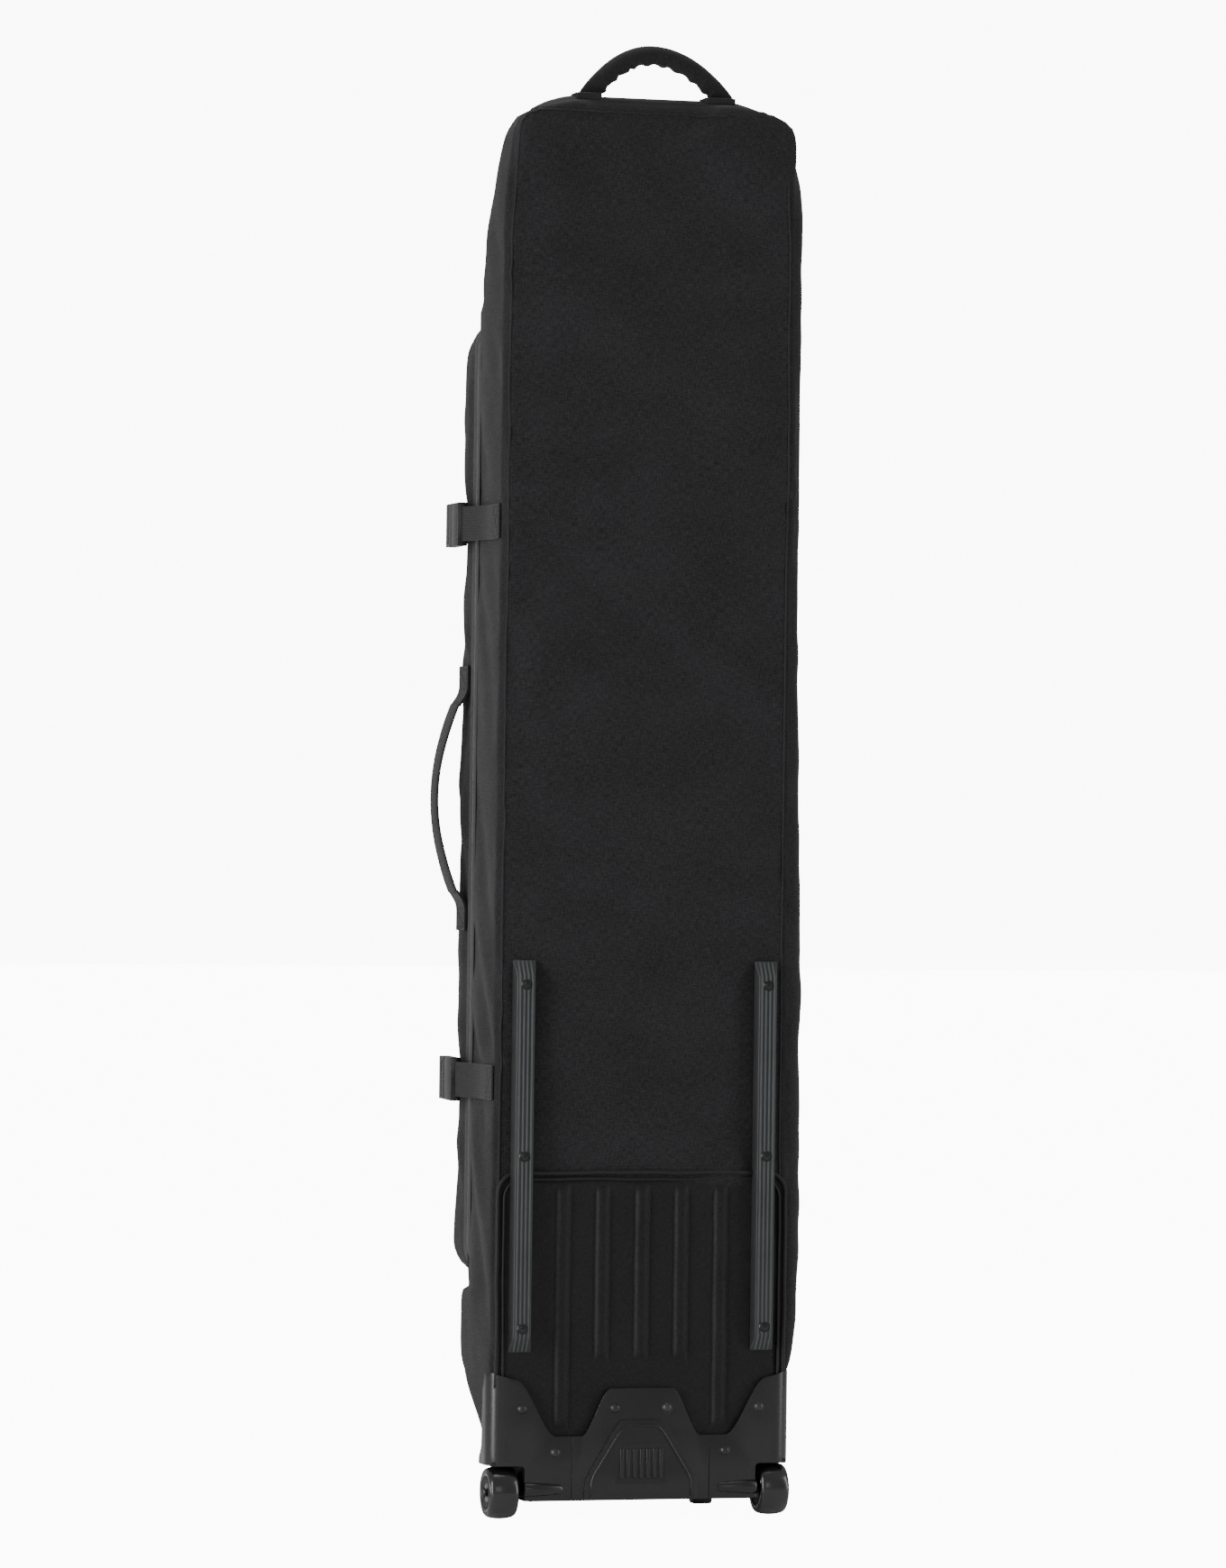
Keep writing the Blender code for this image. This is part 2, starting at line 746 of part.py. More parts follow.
def build_straps(pivot):
    half, tall = BUCKLE_THICK / 2, BUCKLE_HEIGHT / 2
    for level, height in STRAP_LEVELS.items():
        socket = buckle_block(
            "buckle_socket_" + level,
            (-half, -SOCKET_LENGTH, -tall),
            (half, -GAP, tall),
            height,
        )
        pocket = buckle_block(
            "pocket_" + level, (-0.0040, -0.027, -0.0200), (0.0040, 0.005, 0.0200), height
        )
        combine(socket, pocket, "DIFFERENCE")
        finish_part(socket, "buckle")

        plug = buckle_block(
            "buckle_plug_" + level, (-half, GAP, -tall), (half, PLUG_LENGTH, tall), height
        )
        tongue = buckle_block(
            "tongue_" + level, (-0.0022, -TONGUE_LENGTH, -0.0175), (0.0022, 0.002, 0.0175), height
        )
        combine(plug, tongue, "UNION")
        slot = buckle_block(
            "slot_" + level, (-0.020, 0.016, -0.0210), (0.020, 0.021, 0.0210), height
        )
        combine(plug, slot, "DIFFERENCE")
        finish_part(plug, "buckle", pivot)

        low, high = height - STRAP_WIDTH / 2, height + STRAP_WIDTH / 2
        rear = buckle_frame(height) @ Vector((0.0, -SOCKET_LENGTH - 0.0006, 0.0))
        skin = -HALF_WIDTH - 0.0014
        stub = rounded([(skin, BACK_Y + 0.006), (skin, -0.030), rear.xy], 0.020, closed=False)
        finish_part(
            slab("strap_stub_" + level, [ribbon(stub, STRAP_THICK)], "XY", low, high), "webbing"
        )

        ahead = buckle_frame(height) @ Vector((0.0, PLUG_LENGTH + 0.0006, 0.0))
        run = LID_FRONT_Y + 0.0016
        run_path = rounded(
            [
                ahead.xy,
                (-HALF_WIDTH - 0.0050, run),
                (HALF_WIDTH + 0.0020, run),
                (HALF_WIDTH + 0.0020, ZIP_Y + 0.020),
            ],
            [0.0, 0.0050, 0.0040, 0.0],
            closed=False,
            steps=4,
        )
        across = slab(
            "front_strap_" + level, [ribbon(run_path, STRAP_THICK)], "XY", low, high
        )
        finish_part(across, "webbing", pivot)


# ---------------------------------------------------------------- handles
def build_top_handle():
    pivot = make_pivot("top_handle_pivot", (0.0, HANDLE_Y, HANDLE_AXIS_Z), bag)
    power, steps, around = 2.4, 20, 12
    rings = []
    for step in range(steps + 1):
        angle = math.pi * step / steps
        cosine, sine = math.cos(angle), math.sin(angle)
        x = -HANDLE_HALF_SPAN * math.copysign(abs(cosine) ** (2 / power), cosine)
        z = HANDLE_AXIS_Z + HANDLE_RISE * abs(sine) ** (2 / power)
        steep = math.copysign(abs(cosine) ** (2 - 2 / power), cosine)
        across = Vector((-steep * HANDLE_RISE, 0.0, max(sine, 0.0) ** (2 - 2 / power) * HANDLE_HALF_SPAN))
        across.normalize()
        fill = ease(min(z - HANDLE_AXIS_Z, 0.030) / 0.030)
        wide = 0.0130 + (HANDLE_RADIUS - 0.0130) * fill
        deep = 0.0030 + (HANDLE_RADIUS - 0.0030) * fill
        ring = []
        for corner in range(around):
            turn = 2 * math.pi * corner / around
            ring.append(
                Vector((x, HANDLE_Y, z))
                + across * wide * math.cos(turn)
                + Vector((0.0, deep * math.sin(turn), 0.0))
            )
        rings.append(ring)
    finish_part(loft("top_handle_grip", rings), "ripstop", pivot, smooth=True)
    for side, sign in (("left", -1.0), ("right", 1.0)):
        x = sign * HANDLE_HALF_SPAN
        patch = block(
            "top_handle_patch_" + side,
            (x - 0.018, HANDLE_Y - 0.013, BODY_TOP + GAP),
            (x + 0.018, HANDLE_Y + 0.013, BODY_TOP + 0.0020),
        )
        finish_part(patch, "webbing")


def build_side_handle(lid_pivot):
    root = -HALF_WIDTH - GRIP_OFFSET
    middle = (GRIP_LOW + GRIP_HIGH) / 2
    pivot = make_pivot(
        "side_handle_pivot", Vector((root, GRIP_Y, middle)) - in_bag(lid_pivot), lid_pivot
    )
    path = []
    steps = 14
    for step in range(steps + 1):
        share = step / steps
        bow = GRIP_BOW * math.sin(math.pi * share) ** 0.9 if 0 < step < steps else 0.0
        path.append((root - bow, GRIP_LOW + (GRIP_HIGH - GRIP_LOW) * share))
    strap = slab(
        "side_handle_strap",
        [ribbon(path, GRIP_THICK)],
        "XZ",
        GRIP_Y - STRAP_WIDTH / 2,
        GRIP_Y + STRAP_WIDTH / 2,
    )
    finish_part(strap, "webbing", pivot)
    for level, low in (("upper", GRIP_HIGH + 0.004), ("lower", GRIP_LOW - 0.044)):
        patch = block(
            "side_handle_patch_" + level,
            (-HALF_WIDTH - 0.0030, GRIP_Y - STRAP_WIDTH / 2, low),
            (-HALF_WIDTH - GAP, GRIP_Y + STRAP_WIDTH / 2, low + 0.040),
        )
        finish_part(patch, "webbing", lid_pivot)


# ---------------------------------------------------------------- the whole bag
lid_hinge = make_pivot("lid_hinge", (HINGE_X, ZIP_Y, 0.0), bag)
build_back_panel()
build_gussets()
build_fixed_fronts()
build_cover()
build_housing("left", -1.0)
build_housing("right", 1.0)
build_base_centre()
build_rivets()
build_rails()
build_wheels()
build_lid(lid_hinge)
build_sliders()
build_straps(lid_hinge)
build_top_handle()
build_side_handle(lid_hinge)
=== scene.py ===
import json
import math
import bpy
import numpy as np
from mathutils import Matrix, Vector


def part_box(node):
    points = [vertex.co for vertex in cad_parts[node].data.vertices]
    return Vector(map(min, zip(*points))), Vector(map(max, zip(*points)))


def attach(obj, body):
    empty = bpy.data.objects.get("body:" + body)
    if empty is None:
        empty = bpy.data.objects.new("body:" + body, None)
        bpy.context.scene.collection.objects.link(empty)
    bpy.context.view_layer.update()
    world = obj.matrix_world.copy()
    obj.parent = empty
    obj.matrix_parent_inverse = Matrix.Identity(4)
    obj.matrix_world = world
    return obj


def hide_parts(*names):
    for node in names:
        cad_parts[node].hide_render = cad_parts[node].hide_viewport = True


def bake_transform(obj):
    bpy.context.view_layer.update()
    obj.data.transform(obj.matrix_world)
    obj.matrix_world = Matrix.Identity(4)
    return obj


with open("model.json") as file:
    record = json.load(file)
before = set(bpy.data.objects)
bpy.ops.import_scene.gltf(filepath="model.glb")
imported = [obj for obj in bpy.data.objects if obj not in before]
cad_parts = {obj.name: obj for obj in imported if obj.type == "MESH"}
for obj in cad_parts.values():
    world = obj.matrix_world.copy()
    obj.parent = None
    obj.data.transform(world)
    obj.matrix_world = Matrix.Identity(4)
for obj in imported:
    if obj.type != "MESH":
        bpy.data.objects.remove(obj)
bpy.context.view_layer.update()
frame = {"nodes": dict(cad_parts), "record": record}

bpy.ops.object.select_all(action="DESELECT")

# measures read from the frame
backLow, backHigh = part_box("back_panel")
lidLow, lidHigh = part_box("lid_band")
midX = (backLow.x + backHigh.x) / 2
half = (backHigh.x - backLow.x) / 2
backY = backLow.y
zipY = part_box("zip_chain_lid")[0].y
topZ = backHigh.z
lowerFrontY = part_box("front_panel_lower")[1].y
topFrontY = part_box("top_gusset")[1].y
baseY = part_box("base_centre_plate")[0].y
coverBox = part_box("ribbed_cover")
strapZ = {level: (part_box("strap_stub_" + level)[0].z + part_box("strap_stub_" + level)[1].z) / 2
          for level in ("upper", "lower")}
slots = {entry["node"]: entry["material_slot"] for entry in frame["record"]["subparts"]}


# small tools
def toLinear(hexText):
    parts = [int(hexText[i:i + 2], 16) / 255 for i in (1, 3, 5)]
    return [p / 12.92 if p <= 0.04045 else ((p + 0.055) / 1.055) ** 2.4 for p in parts] + [1.0]


def smooth(value):
    value = np.clip(value, 0.0, 1.0)
    return value * value * (3 - 2 * value)


def bump(value, width):
    return np.exp(-(value / width) ** 2)


def softNoise(a, b, cell, seed):
    # smooth value noise between -1 and 1 on a lattice with the given cell in metres
    table = np.random.RandomState(seed).uniform(-1, 1, (64, 64))
    x, y = a / cell + 1000.0, b / cell + 1000.0
    i, j = np.floor(x).astype(int), np.floor(y).astype(int)
    fx, fy = smooth(x - i), smooth(y - j)
    near = table[i % 64, j % 64] * (1 - fx) + table[(i + 1) % 64, j % 64] * fx
    far = table[i % 64, (j + 1) % 64] * (1 - fx) + table[(i + 1) % 64, (j + 1) % 64] * fx
    return near * (1 - fy) + far * fy


def folds(a, b, angle, length, width, seed):
    # soft creases that run at an angle, longer than they are wide
    turn = math.radians(angle)
    along = a * math.cos(turn) + b * math.sin(turn)
    across = -a * math.sin(turn) + b * math.cos(turn)
    wander = softNoise(along, across, length, seed + 7) * width * 0.8
    ridge = softNoise(along * width / length, across + wander, width, seed)
    return np.sign(ridge) * np.abs(ridge) ** 1.3


def activate(obj):
    bpy.ops.object.select_all(action="DESELECT")
    obj.select_set(True)
    bpy.context.view_layer.objects.active = obj


def inEditMode(obj, *steps):
    activate(obj)
    bpy.ops.object.mode_set(mode="EDIT")
    bpy.ops.mesh.select_all(action="SELECT")
    for step, settings in steps:
        step(**settings)
    bpy.ops.object.mode_set(mode="OBJECT")


def applyModifier(obj, kind, **settings):
    modifier = obj.modifiers.new(kind.lower(), kind)
    for name, value in settings.items():
        setattr(modifier, name, value)
    activate(obj)
    bpy.ops.object.modifier_apply(modifier=modifier.name)


def shade(obj, angle=35.0):
    activate(obj)
    bpy.ops.object.shade_smooth_by_angle(angle=math.radians(angle))


def settle(obj, body, material, replaced=()):
    # gives a finished piece its body and material, with its place in its mesh, and hides the nodes
    # it replaces
    activate(obj)
    bpy.ops.object.transform_apply(location=True, rotation=True, scale=True)
    if material:
        obj.data.materials.clear()
        obj.data.materials.append(material)
    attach(obj, body)
    if replaced:
        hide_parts(*replaced)
    return obj


def gridPiece(name, columns, rows, shape, closed=False, uvSize=(1.0, 1.0)):
    # a grid primitive whose points are carried to shape(u, v); uvSize is its cloth size in metres
    bpy.ops.mesh.primitive_grid_add(x_subdivisions=columns, y_subdivisions=rows, size=2.0)
    obj = bpy.context.object
    obj.name = name
    mesh = obj.data
    count = len(mesh.vertices)
    flat = np.zeros(count * 3)
    mesh.vertices.foreach_get("co", flat)
    flat = flat.reshape(-1, 3)
    u, v = (flat[:, 0] + 1) / 2, (flat[:, 1] + 1) / 2
    points = np.stack([np.broadcast_to(p, u.shape) for p in shape(u, v)], axis=1)
    mesh.vertices.foreach_set("co", points.ravel())
    layer = mesh.uv_layers.active.data
    uv = np.zeros(len(layer) * 2)
    layer.foreach_get("uv", uv)
    uv = uv.reshape(-1, 2) * np.array(uvSize)
    layer.foreach_set("uv", uv.ravel())
    mesh.update()
    if closed:
        inEditMode(obj, (bpy.ops.mesh.remove_doubles, {"threshold": 0.00002}))
    inEditMode(obj, (bpy.ops.mesh.normals_make_consistent, {"inside": False}))
    return obj


def sculpt(obj, field):
    # moves every point along its normal by field(x, y, z, normal), in metres
    mesh = obj.data
    count = len(mesh.vertices)
    co, normal = np.zeros(count * 3), np.zeros(count * 3)
    mesh.vertices.foreach_get("co", co)
    mesh.vertices.foreach_get("normal", normal)
    co, normal = co.reshape(-1, 3), normal.reshape(-1, 3)
    amount = field(co[:, 0], co[:, 1], co[:, 2], normal)
    co += normal * amount[:, None]
    mesh.vertices.foreach_set("co", co.ravel())
    mesh.update()


def onFaces(obj, test, step, **settings):
    # one edit mode step on the faces that pass the test
    activate(obj)
    bpy.ops.object.mode_set(mode="EDIT")
    bpy.ops.mesh.select_mode(type="FACE")
    bpy.ops.mesh.select_all(action="DESELECT")
    bpy.ops.object.mode_set(mode="OBJECT")
    for face in obj.data.polygons:
        face.select = bool(test(face.center, face.normal))
    bpy.ops.object.mode_set(mode="EDIT")
    step(**settings)
    bpy.ops.mesh.select_mode(type="VERT")
    bpy.ops.object.mode_set(mode="OBJECT")


def boxPiece(name, low, high, bevel=0.0, segments=2):
    size = [h - l for l, h in zip(low, high)]
    centre = [(h + l) / 2 for l, h in zip(low, high)]
    bpy.ops.mesh.primitive_cube_add(size=1.0, location=centre, scale=size)
    obj = bpy.context.object
    obj.name = name
    bpy.ops.object.transform_apply(location=True, rotation=True, scale=True)
    if bevel:
        inEditMode(obj, (bpy.ops.mesh.bevel, {"offset": bevel, "segments": segments,
                                              "affect": "EDGES"}))
    return obj


def tubePiece(name, path, radius, sides=8, closed=False):
    # a round cord of cloth or wire through the given points, made a mesh
    curve = bpy.data.curves.new(name, "CURVE")
    curve.dimensions = "3D"
    spline = curve.splines.new("POLY")
    spline.points.add(len(path) - 1)
    for point, place in zip(spline.points, path):
        point.co = (*place, 1.0)
    spline.use_cyclic_u = closed
    curve.bevel_depth = radius
    curve.bevel_resolution = max(sides // 2 - 2, 1)
    curve.use_fill_caps = not closed
    obj = bpy.data.objects.new(name, curve)
    bpy.context.scene.collection.objects.link(obj)
    activate(obj)
    bpy.ops.object.convert(target="MESH")
    obj = bpy.context.object
    inEditMode(obj, (bpy.ops.mesh.remove_doubles, {"threshold": 0.00001}),
               (bpy.ops.mesh.normals_make_consistent, {"inside": False}))
    bpy.ops.object.shade_smooth()
    return obj


def lathePiece(name, profile, centre, axis, steps=48):
    # (radius, along) turned about an axis; a circle primitive is carried to the profile
    bpy.ops.mesh.primitive_circle_add(vertices=len(profile), fill_type="NOTHING")
    obj = bpy.context.object
    obj.name = name
    axis = Vector(axis)
    side = Vector((0, 0, 1)) if abs(axis.z) < 0.5 else Vector((1, 0, 0))
    for vert, (radius, along) in zip(obj.data.vertices, profile):
        vert.co = Vector(centre) + side * radius + axis * along
    inEditMode(obj,
               (bpy.ops.mesh.spin, {"steps": steps, "angle": 2 * math.pi,
                                    "center": tuple(centre), "axis": tuple(axis)}),
               (bpy.ops.mesh.select_all, {"action": "SELECT"}),
               (bpy.ops.mesh.remove_doubles, {"threshold": 0.00002}),
               (bpy.ops.mesh.dissolve_degenerate, {"threshold": 0.00001}),
               (bpy.ops.mesh.normals_make_consistent, {"inside": False}))
    shade(obj, 40.0)
    return obj


def bevelledCopy(node, name, width, segments=2):
    # a CAD node's own form with its edges rounded
    source = frame["nodes"][node]
    obj = bpy.data.objects.new(name, source.data.copy())
    bpy.context.scene.collection.objects.link(obj)
    inEditMode(obj, (bpy.ops.mesh.remove_doubles, {"threshold": 0.00001}),
               (bpy.ops.mesh.dissolve_limited, {"angle_limit": math.radians(2.0)}),
               (bpy.ops.mesh.normals_make_consistent, {"inside": False}))
    applyModifier(obj, "BEVEL", width=width, segments=segments, limit_method="ANGLE",
                  angle_limit=math.radians(30.0), use_clamp_overlap=True)
    shade(obj, 35.0)
    return obj


# materials
def newMaterial(name, roughness, metallic=0.0, **sockets):
    material = bpy.data.materials.new(name)
    material.use_nodes = True
    shader = material.node_tree.nodes["Principled BSDF"]
    shader.inputs["Roughness"].default_value = roughness
    shader.inputs["Metallic"].default_value = metallic
    for socket, value in sockets.items():
        shader.inputs[socket.replace("_", " ")].default_value = value
    return material, material.node_tree, shader


def addNode(tree, kind, links=None, **settings):
    # adds a node, sets its values and links {input: output socket}
    node = tree.nodes.new(kind)
    for name, value in settings.items():
        if hasattr(node, name):
            setattr(node, name, value)
        else:
            node.inputs[name.replace("_", " ")].default_value = value
    for name, source in (links or {}).items():
        tree.links.new(source, node.inputs[name])
    return node


def colourMix(tree, shader, factor, dark, light, low=0.3, high=0.7):
    spread = addNode(tree, "ShaderNodeMapRange", {"Value": factor})
    spread.inputs["From Min"].default_value = low
    spread.inputs["From Max"].default_value = high
    ramp = addNode(tree, "ShaderNodeValToRGB", {"Fac": spread.outputs["Result"]})
    ramp.color_ramp.elements[0].color = toLinear(dark)
    ramp.color_ramp.elements[1].color = toLinear(light)
    tree.links.new(ramp.outputs["Color"], shader.inputs["Base Color"])


def clothMaterial(name, dark, light, thread, roughness, relief, sheen):
    # woven yarns: bright and dark yarn crowns, matt with a soft sheen at the edges
    material, tree, shader = newMaterial(name, roughness, Sheen_Weight=sheen,
                                         Sheen_Roughness=0.5, Specular_IOR_Level=0.25)
    coords = addNode(tree, "ShaderNodeTexCoord")
    warp, weft = (addNode(tree, "ShaderNodeTexWave", {"Vector": coords.outputs["UV"]},
                          bands_direction=direction, Scale=1.0 / (math.pi * thread),
                          Distortion=0.6, Detail=1.0, Detail_Scale=2.0)
                  for direction in ("X", "Y"))
    yarns = addNode(tree, "ShaderNodeMath", {0: warp.outputs["Fac"], 1: weft.outputs["Fac"]},
                    operation="MULTIPLY")
    # slubs: short light and dark lengths of yarn, lying both ways of the weave
    slubs = []
    for lie in ((150.0, 900.0, 1.0), (900.0, 150.0, 1.0)):
        lying = addNode(tree, "ShaderNodeMapping", {"Vector": coords.outputs["UV"]}, Scale=lie)
        slubs.append(addNode(tree, "ShaderNodeTexNoise", {"Vector": lying.outputs["Vector"]},
                             Scale=1.0, Detail=2.0, Roughness=0.6).outputs["Fac"])
    clouds = addNode(tree, "ShaderNodeTexNoise", {"Vector": coords.outputs["UV"]},
                     Scale=14.0, Detail=3.0)
    heather = addNode(tree, "ShaderNodeMath", {0: slubs[0], 1: slubs[1]}, operation="ADD")
    tone = addNode(tree, "ShaderNodeMath", {0: clouds.outputs["Fac"], 2: heather.outputs[0]},
                   operation="MULTIPLY_ADD")
    tone.inputs[1].default_value = 0.35
    share = addNode(tree, "ShaderNodeMath", {0: yarns.outputs[0], 2: tone.outputs[0]},
                    operation="MULTIPLY_ADD")
    share.inputs[1].default_value = 0.10
    colourMix(tree, shader, share.outputs[0], dark, light, 0.92, 1.45)
    height = addNode(tree, "ShaderNodeMath", {0: heather.outputs[0], 2: yarns.outputs[0]},
                     operation="MULTIPLY_ADD")
    height.inputs[1].default_value = 0.5
    relieved = addNode(tree, "ShaderNodeBump", {"Height": height.outputs[0]},
                       Strength=relief, Distance=0.0006)
    tree.links.new(relieved.outputs["Normal"], shader.inputs["Normal"])
    return material


def mouldedMaterial(name, dark, light, grain, roughness, relief, coat=0.0, metallic=0.0,
                    rubbed=0.12):
    # moulded or cast surface: fine spark-eroded grain, a little rubbed and uneven in gloss
    material, tree, shader = newMaterial(name, roughness, metallic, Coat_Weight=coat,
                                         Coat_Roughness=0.25)
    coords = addNode(tree, "ShaderNodeTexCoord")
    fine = addNode(tree, "ShaderNodeTexNoise", {"Vector": coords.outputs["Object"]},
                   Scale=1.0 / grain, Detail=2.0)
    broad = addNode(tree, "ShaderNodeTexNoise", {"Vector": coords.outputs["Object"]},
                    Scale=22.0, Detail=4.0, Roughness=0.6)
    colourMix(tree, shader, broad.outputs["Fac"], dark, light, 0.3, 0.75)
    gloss = addNode(tree, "ShaderNodeMapRange", {"Value": broad.outputs["Fac"]})
    gloss.inputs["To Min"].default_value = roughness - rubbed / 2
    gloss.inputs["To Max"].default_value = roughness + rubbed
    tree.links.new(gloss.outputs["Result"], shader.inputs["Roughness"])
    relieved = addNode(tree, "ShaderNodeBump", {"Height": fine.outputs["Fac"]},
                       Strength=relief, Distance=0.0003)
    tree.links.new(relieved.outputs["Normal"], shader.inputs["Normal"])
    return material


def webbingMaterial(name, dark, light, rib, roughness):
    # nylon webbing: raised ribs along its length crossed by fine picks
    material, tree, shader = newMaterial(name, roughness, Sheen_Weight=0.15,
                                         Specular_IOR_Level=0.4)
    coords = addNode(tree, "ShaderNodeTexCoord")
    scale = 1.0 / rib / math.pi
    ribs = addNode(tree, "ShaderNodeTexWave", {"Vector": coords.outputs["UV"]},
                   bands_direction="Y", Scale=scale, Distortion=0.2)
    picks = addNode(tree, "ShaderNodeTexWave", {"Vector": coords.outputs["UV"]},
                    bands_direction="X", Scale=scale * 1.4, Distortion=0.4)
    mixed = addNode(tree, "ShaderNodeMath", {0: picks.outputs["Fac"], 2: ribs.outputs["Fac"]},
                    operation="MULTIPLY_ADD")
    mixed.inputs[1].default_value = 0.35
    colourMix(tree, shader, mixed.outputs[0], dark, light, 0.2, 1.2)
    relieved = addNode(tree, "ShaderNodeBump", {"Height": mixed.outputs[0]},
                       Strength=0.5, Distance=0.0006)
    tree.links.new(relieved.outputs["Normal"], shader.inputs["Normal"])
    return material


# 600 denier polyester plain weave, dyed black: charcoal yarns; pitch 2.2 mm so that it shows
bodyCloth = clothMaterial("wovenPolyester", "#0a0a0b", "#2c2a2d", 0.0022, 0.78, 0.35, 0.12)
# the same cloth gathered on the handle, a little darker
handleCloth = clothMaterial("gatheredPolyester", "#0f0f10", "#201f21", 0.0022, 0.75, 0.35, 0.12)
# coated polyester pressed over foam ribs: smoother and slightly shinier than the body cloth
coverCloth = clothMaterial("pressedCoatedPolyester", "#0a0a0b", "#1d1d1d", 0.0018, 0.55, 0.2, 0.05)
# knitted mesh lining, mid grey
liningCloth = clothMaterial("knittedLining", "#39393b", "#4c4c4f", 0.0030, 0.85, 0.4, 0.1)
# ribbed grosgrain and heavy webbing, woven of nylon: fine ridges that run lengthways
bindingCloth = webbingMaterial("grosgrainBinding", "#191819", "#39373a", 0.0016, 0.6)
webbing = webbingMaterial("nylonWebbing", "#0e0e0e", "#252425", 0.0024, 0.62)
# injection moulded polypropylene with a satin spark finish
baseMould = mouldedMaterial("mouldedPolypropylene", "#0c0c0c", "#111111", 0.0012, 0.27, 0.012, 0.4)
# extruded and milled nylon, dark grey: a satin crown
railNylon = mouldedMaterial("extrudedNylon", "#2b2d2e", "#343737", 0.0010, 0.38, 0.10)
# the same nylon, darker on the flanks as painted shade, and paler on the ridges as a painted
# highlight
railFlankShade = mouldedMaterial("extrudedNylonPaintedShadeFlank", "#161818", "#1d1f1f", 0.0010, 0.50, 0.10)
railRidgeHighlight = mouldedMaterial("paintedHighlightNylonRidge", "#434748", "#4e5253", 0.0010, 0.42, 0.10)
# cast urethane, left glossy by its mould, so the tyre carries a bright streak
tyreUrethane = mouldedMaterial("castUrethane", "#161616", "#1e1e1e", 0.0016, 0.17, 0.04, 0.6)
# glass filled nylon and acetal, moulded: matt for the hub, glossier for buckles and screws
hubNylon = mouldedMaterial("mouldedNylonHub", "#141414", "#1d1d1d", 0.0010, 0.45, 0.15)
acetal = mouldedMaterial("mouldedAcetal", "#0d0d0d", "#161616", 0.0010, 0.22, 0.05, 0.2)
# chemically blackened steel: dark, with a soft metal highlight
blackSteel = mouldedMaterial("blackenedSteel", "#3a3a3b", "#505051", 0.0008, 0.36, 0.08,
                             metallic=0.8)
# ground bearing steel: bright
bearingSteel = mouldedMaterial("groundSteel", "#8a8a8c", "#a4a4a6", 0.0006, 0.28, 0.05,
                               metallic=1.0)
# coiled nylon monofilament: a fine shiny line round the lid
zipNylon = mouldedMaterial("coiledNylon", "#2b2b2c", "#454546", 0.0010, 0.35, 0.10)
# extruded polyethylene sheet, mid grey and waxy
sheetPlastic = mouldedMaterial("polyethyleneSheet", "#4a4b4d", "#58595b", 0.0020, 0.5, 0.1)
print("materials ready")

# tub
tub = {
    "topNarrow": 0.014,        # how much each side draws in towards the top
    "shoulderZ": 1.455,        # height from which they do
    "topCorner": 0.020,        # radius of the top corners seen from behind
    "dome": 0.019,             # how far the top stands above the seam of the back panel
    "domeFlat": 0.090,         # half length of the dome's level part
    "backCorner": 0.0085,
    "seamInset": 0.0045,       # the seam of the back lies this far in from the side
    "seamShift": 0.007,        # the right hand seam of the back sits this much further in
    "frontCorner": 0.026,
    "lowTaper": 0.013,
    "wellStep": 0.026,
    "housingStep": 0.0025,
    "crown": 0.0045,           # how far the back panel stands proud between its seams
    "wall": 0.003,
    "bottom": 0.0262,
    "drawnIn": 0.050,          # how far the back of the bottom end moves in behind the wheel wells
    "columns": 150,
    "rows": 250,
}
# shares of the way round the section: side, corner, back, corner, side, corner, front, corner
breaks = np.array([0.0, 0.14, 0.18, 0.46, 0.50, 0.64, 0.68, 0.96, 1.0])


seamZ = topZ - tub["dome"]


def tubHalf(z):
    shoulder = tub["shoulderZ"]
    narrow = tub["topNarrow"] * np.clip((z - shoulder) / (seamZ - shoulder), 0.0, 1.0) ** 1.5
    radius = tub["topCorner"]
    rise = np.clip((z - (seamZ - radius)) / radius, 0.0, 1.0)
    corner = radius * (1 - np.sqrt(1 - rise ** 2 * 0.98))
    # the low end narrows, and steps in behind the housings and again behind the wheel wells
    taper = tub["lowTaper"] * np.clip((0.170 - z) / 0.12, 0.0, 1.0) ** 1.3
    taper += tub["wellStep"] * smooth((0.088 - z) / 0.03)
    taper += tub["housingStep"] * smooth((0.174 - z) / 0.008)
    return half - narrow - corner - taper


def tubFront(z):
    seam = zipY - 0.003
    share = np.clip((z - lidHigh.z) / (topZ - lidHigh.z), 0.0, 1.0)
    slope = seam + (topFrontY - seam) * share ** 1.7
    low = lowerFrontY - 0.004 + 0.006 * np.sin(np.clip(z / 0.26, 0, 1) * math.pi)
    ledge = smooth((lidLow.z - 0.001 - z) / 0.010)
    return slope * (1 - ledge) + low * ledge


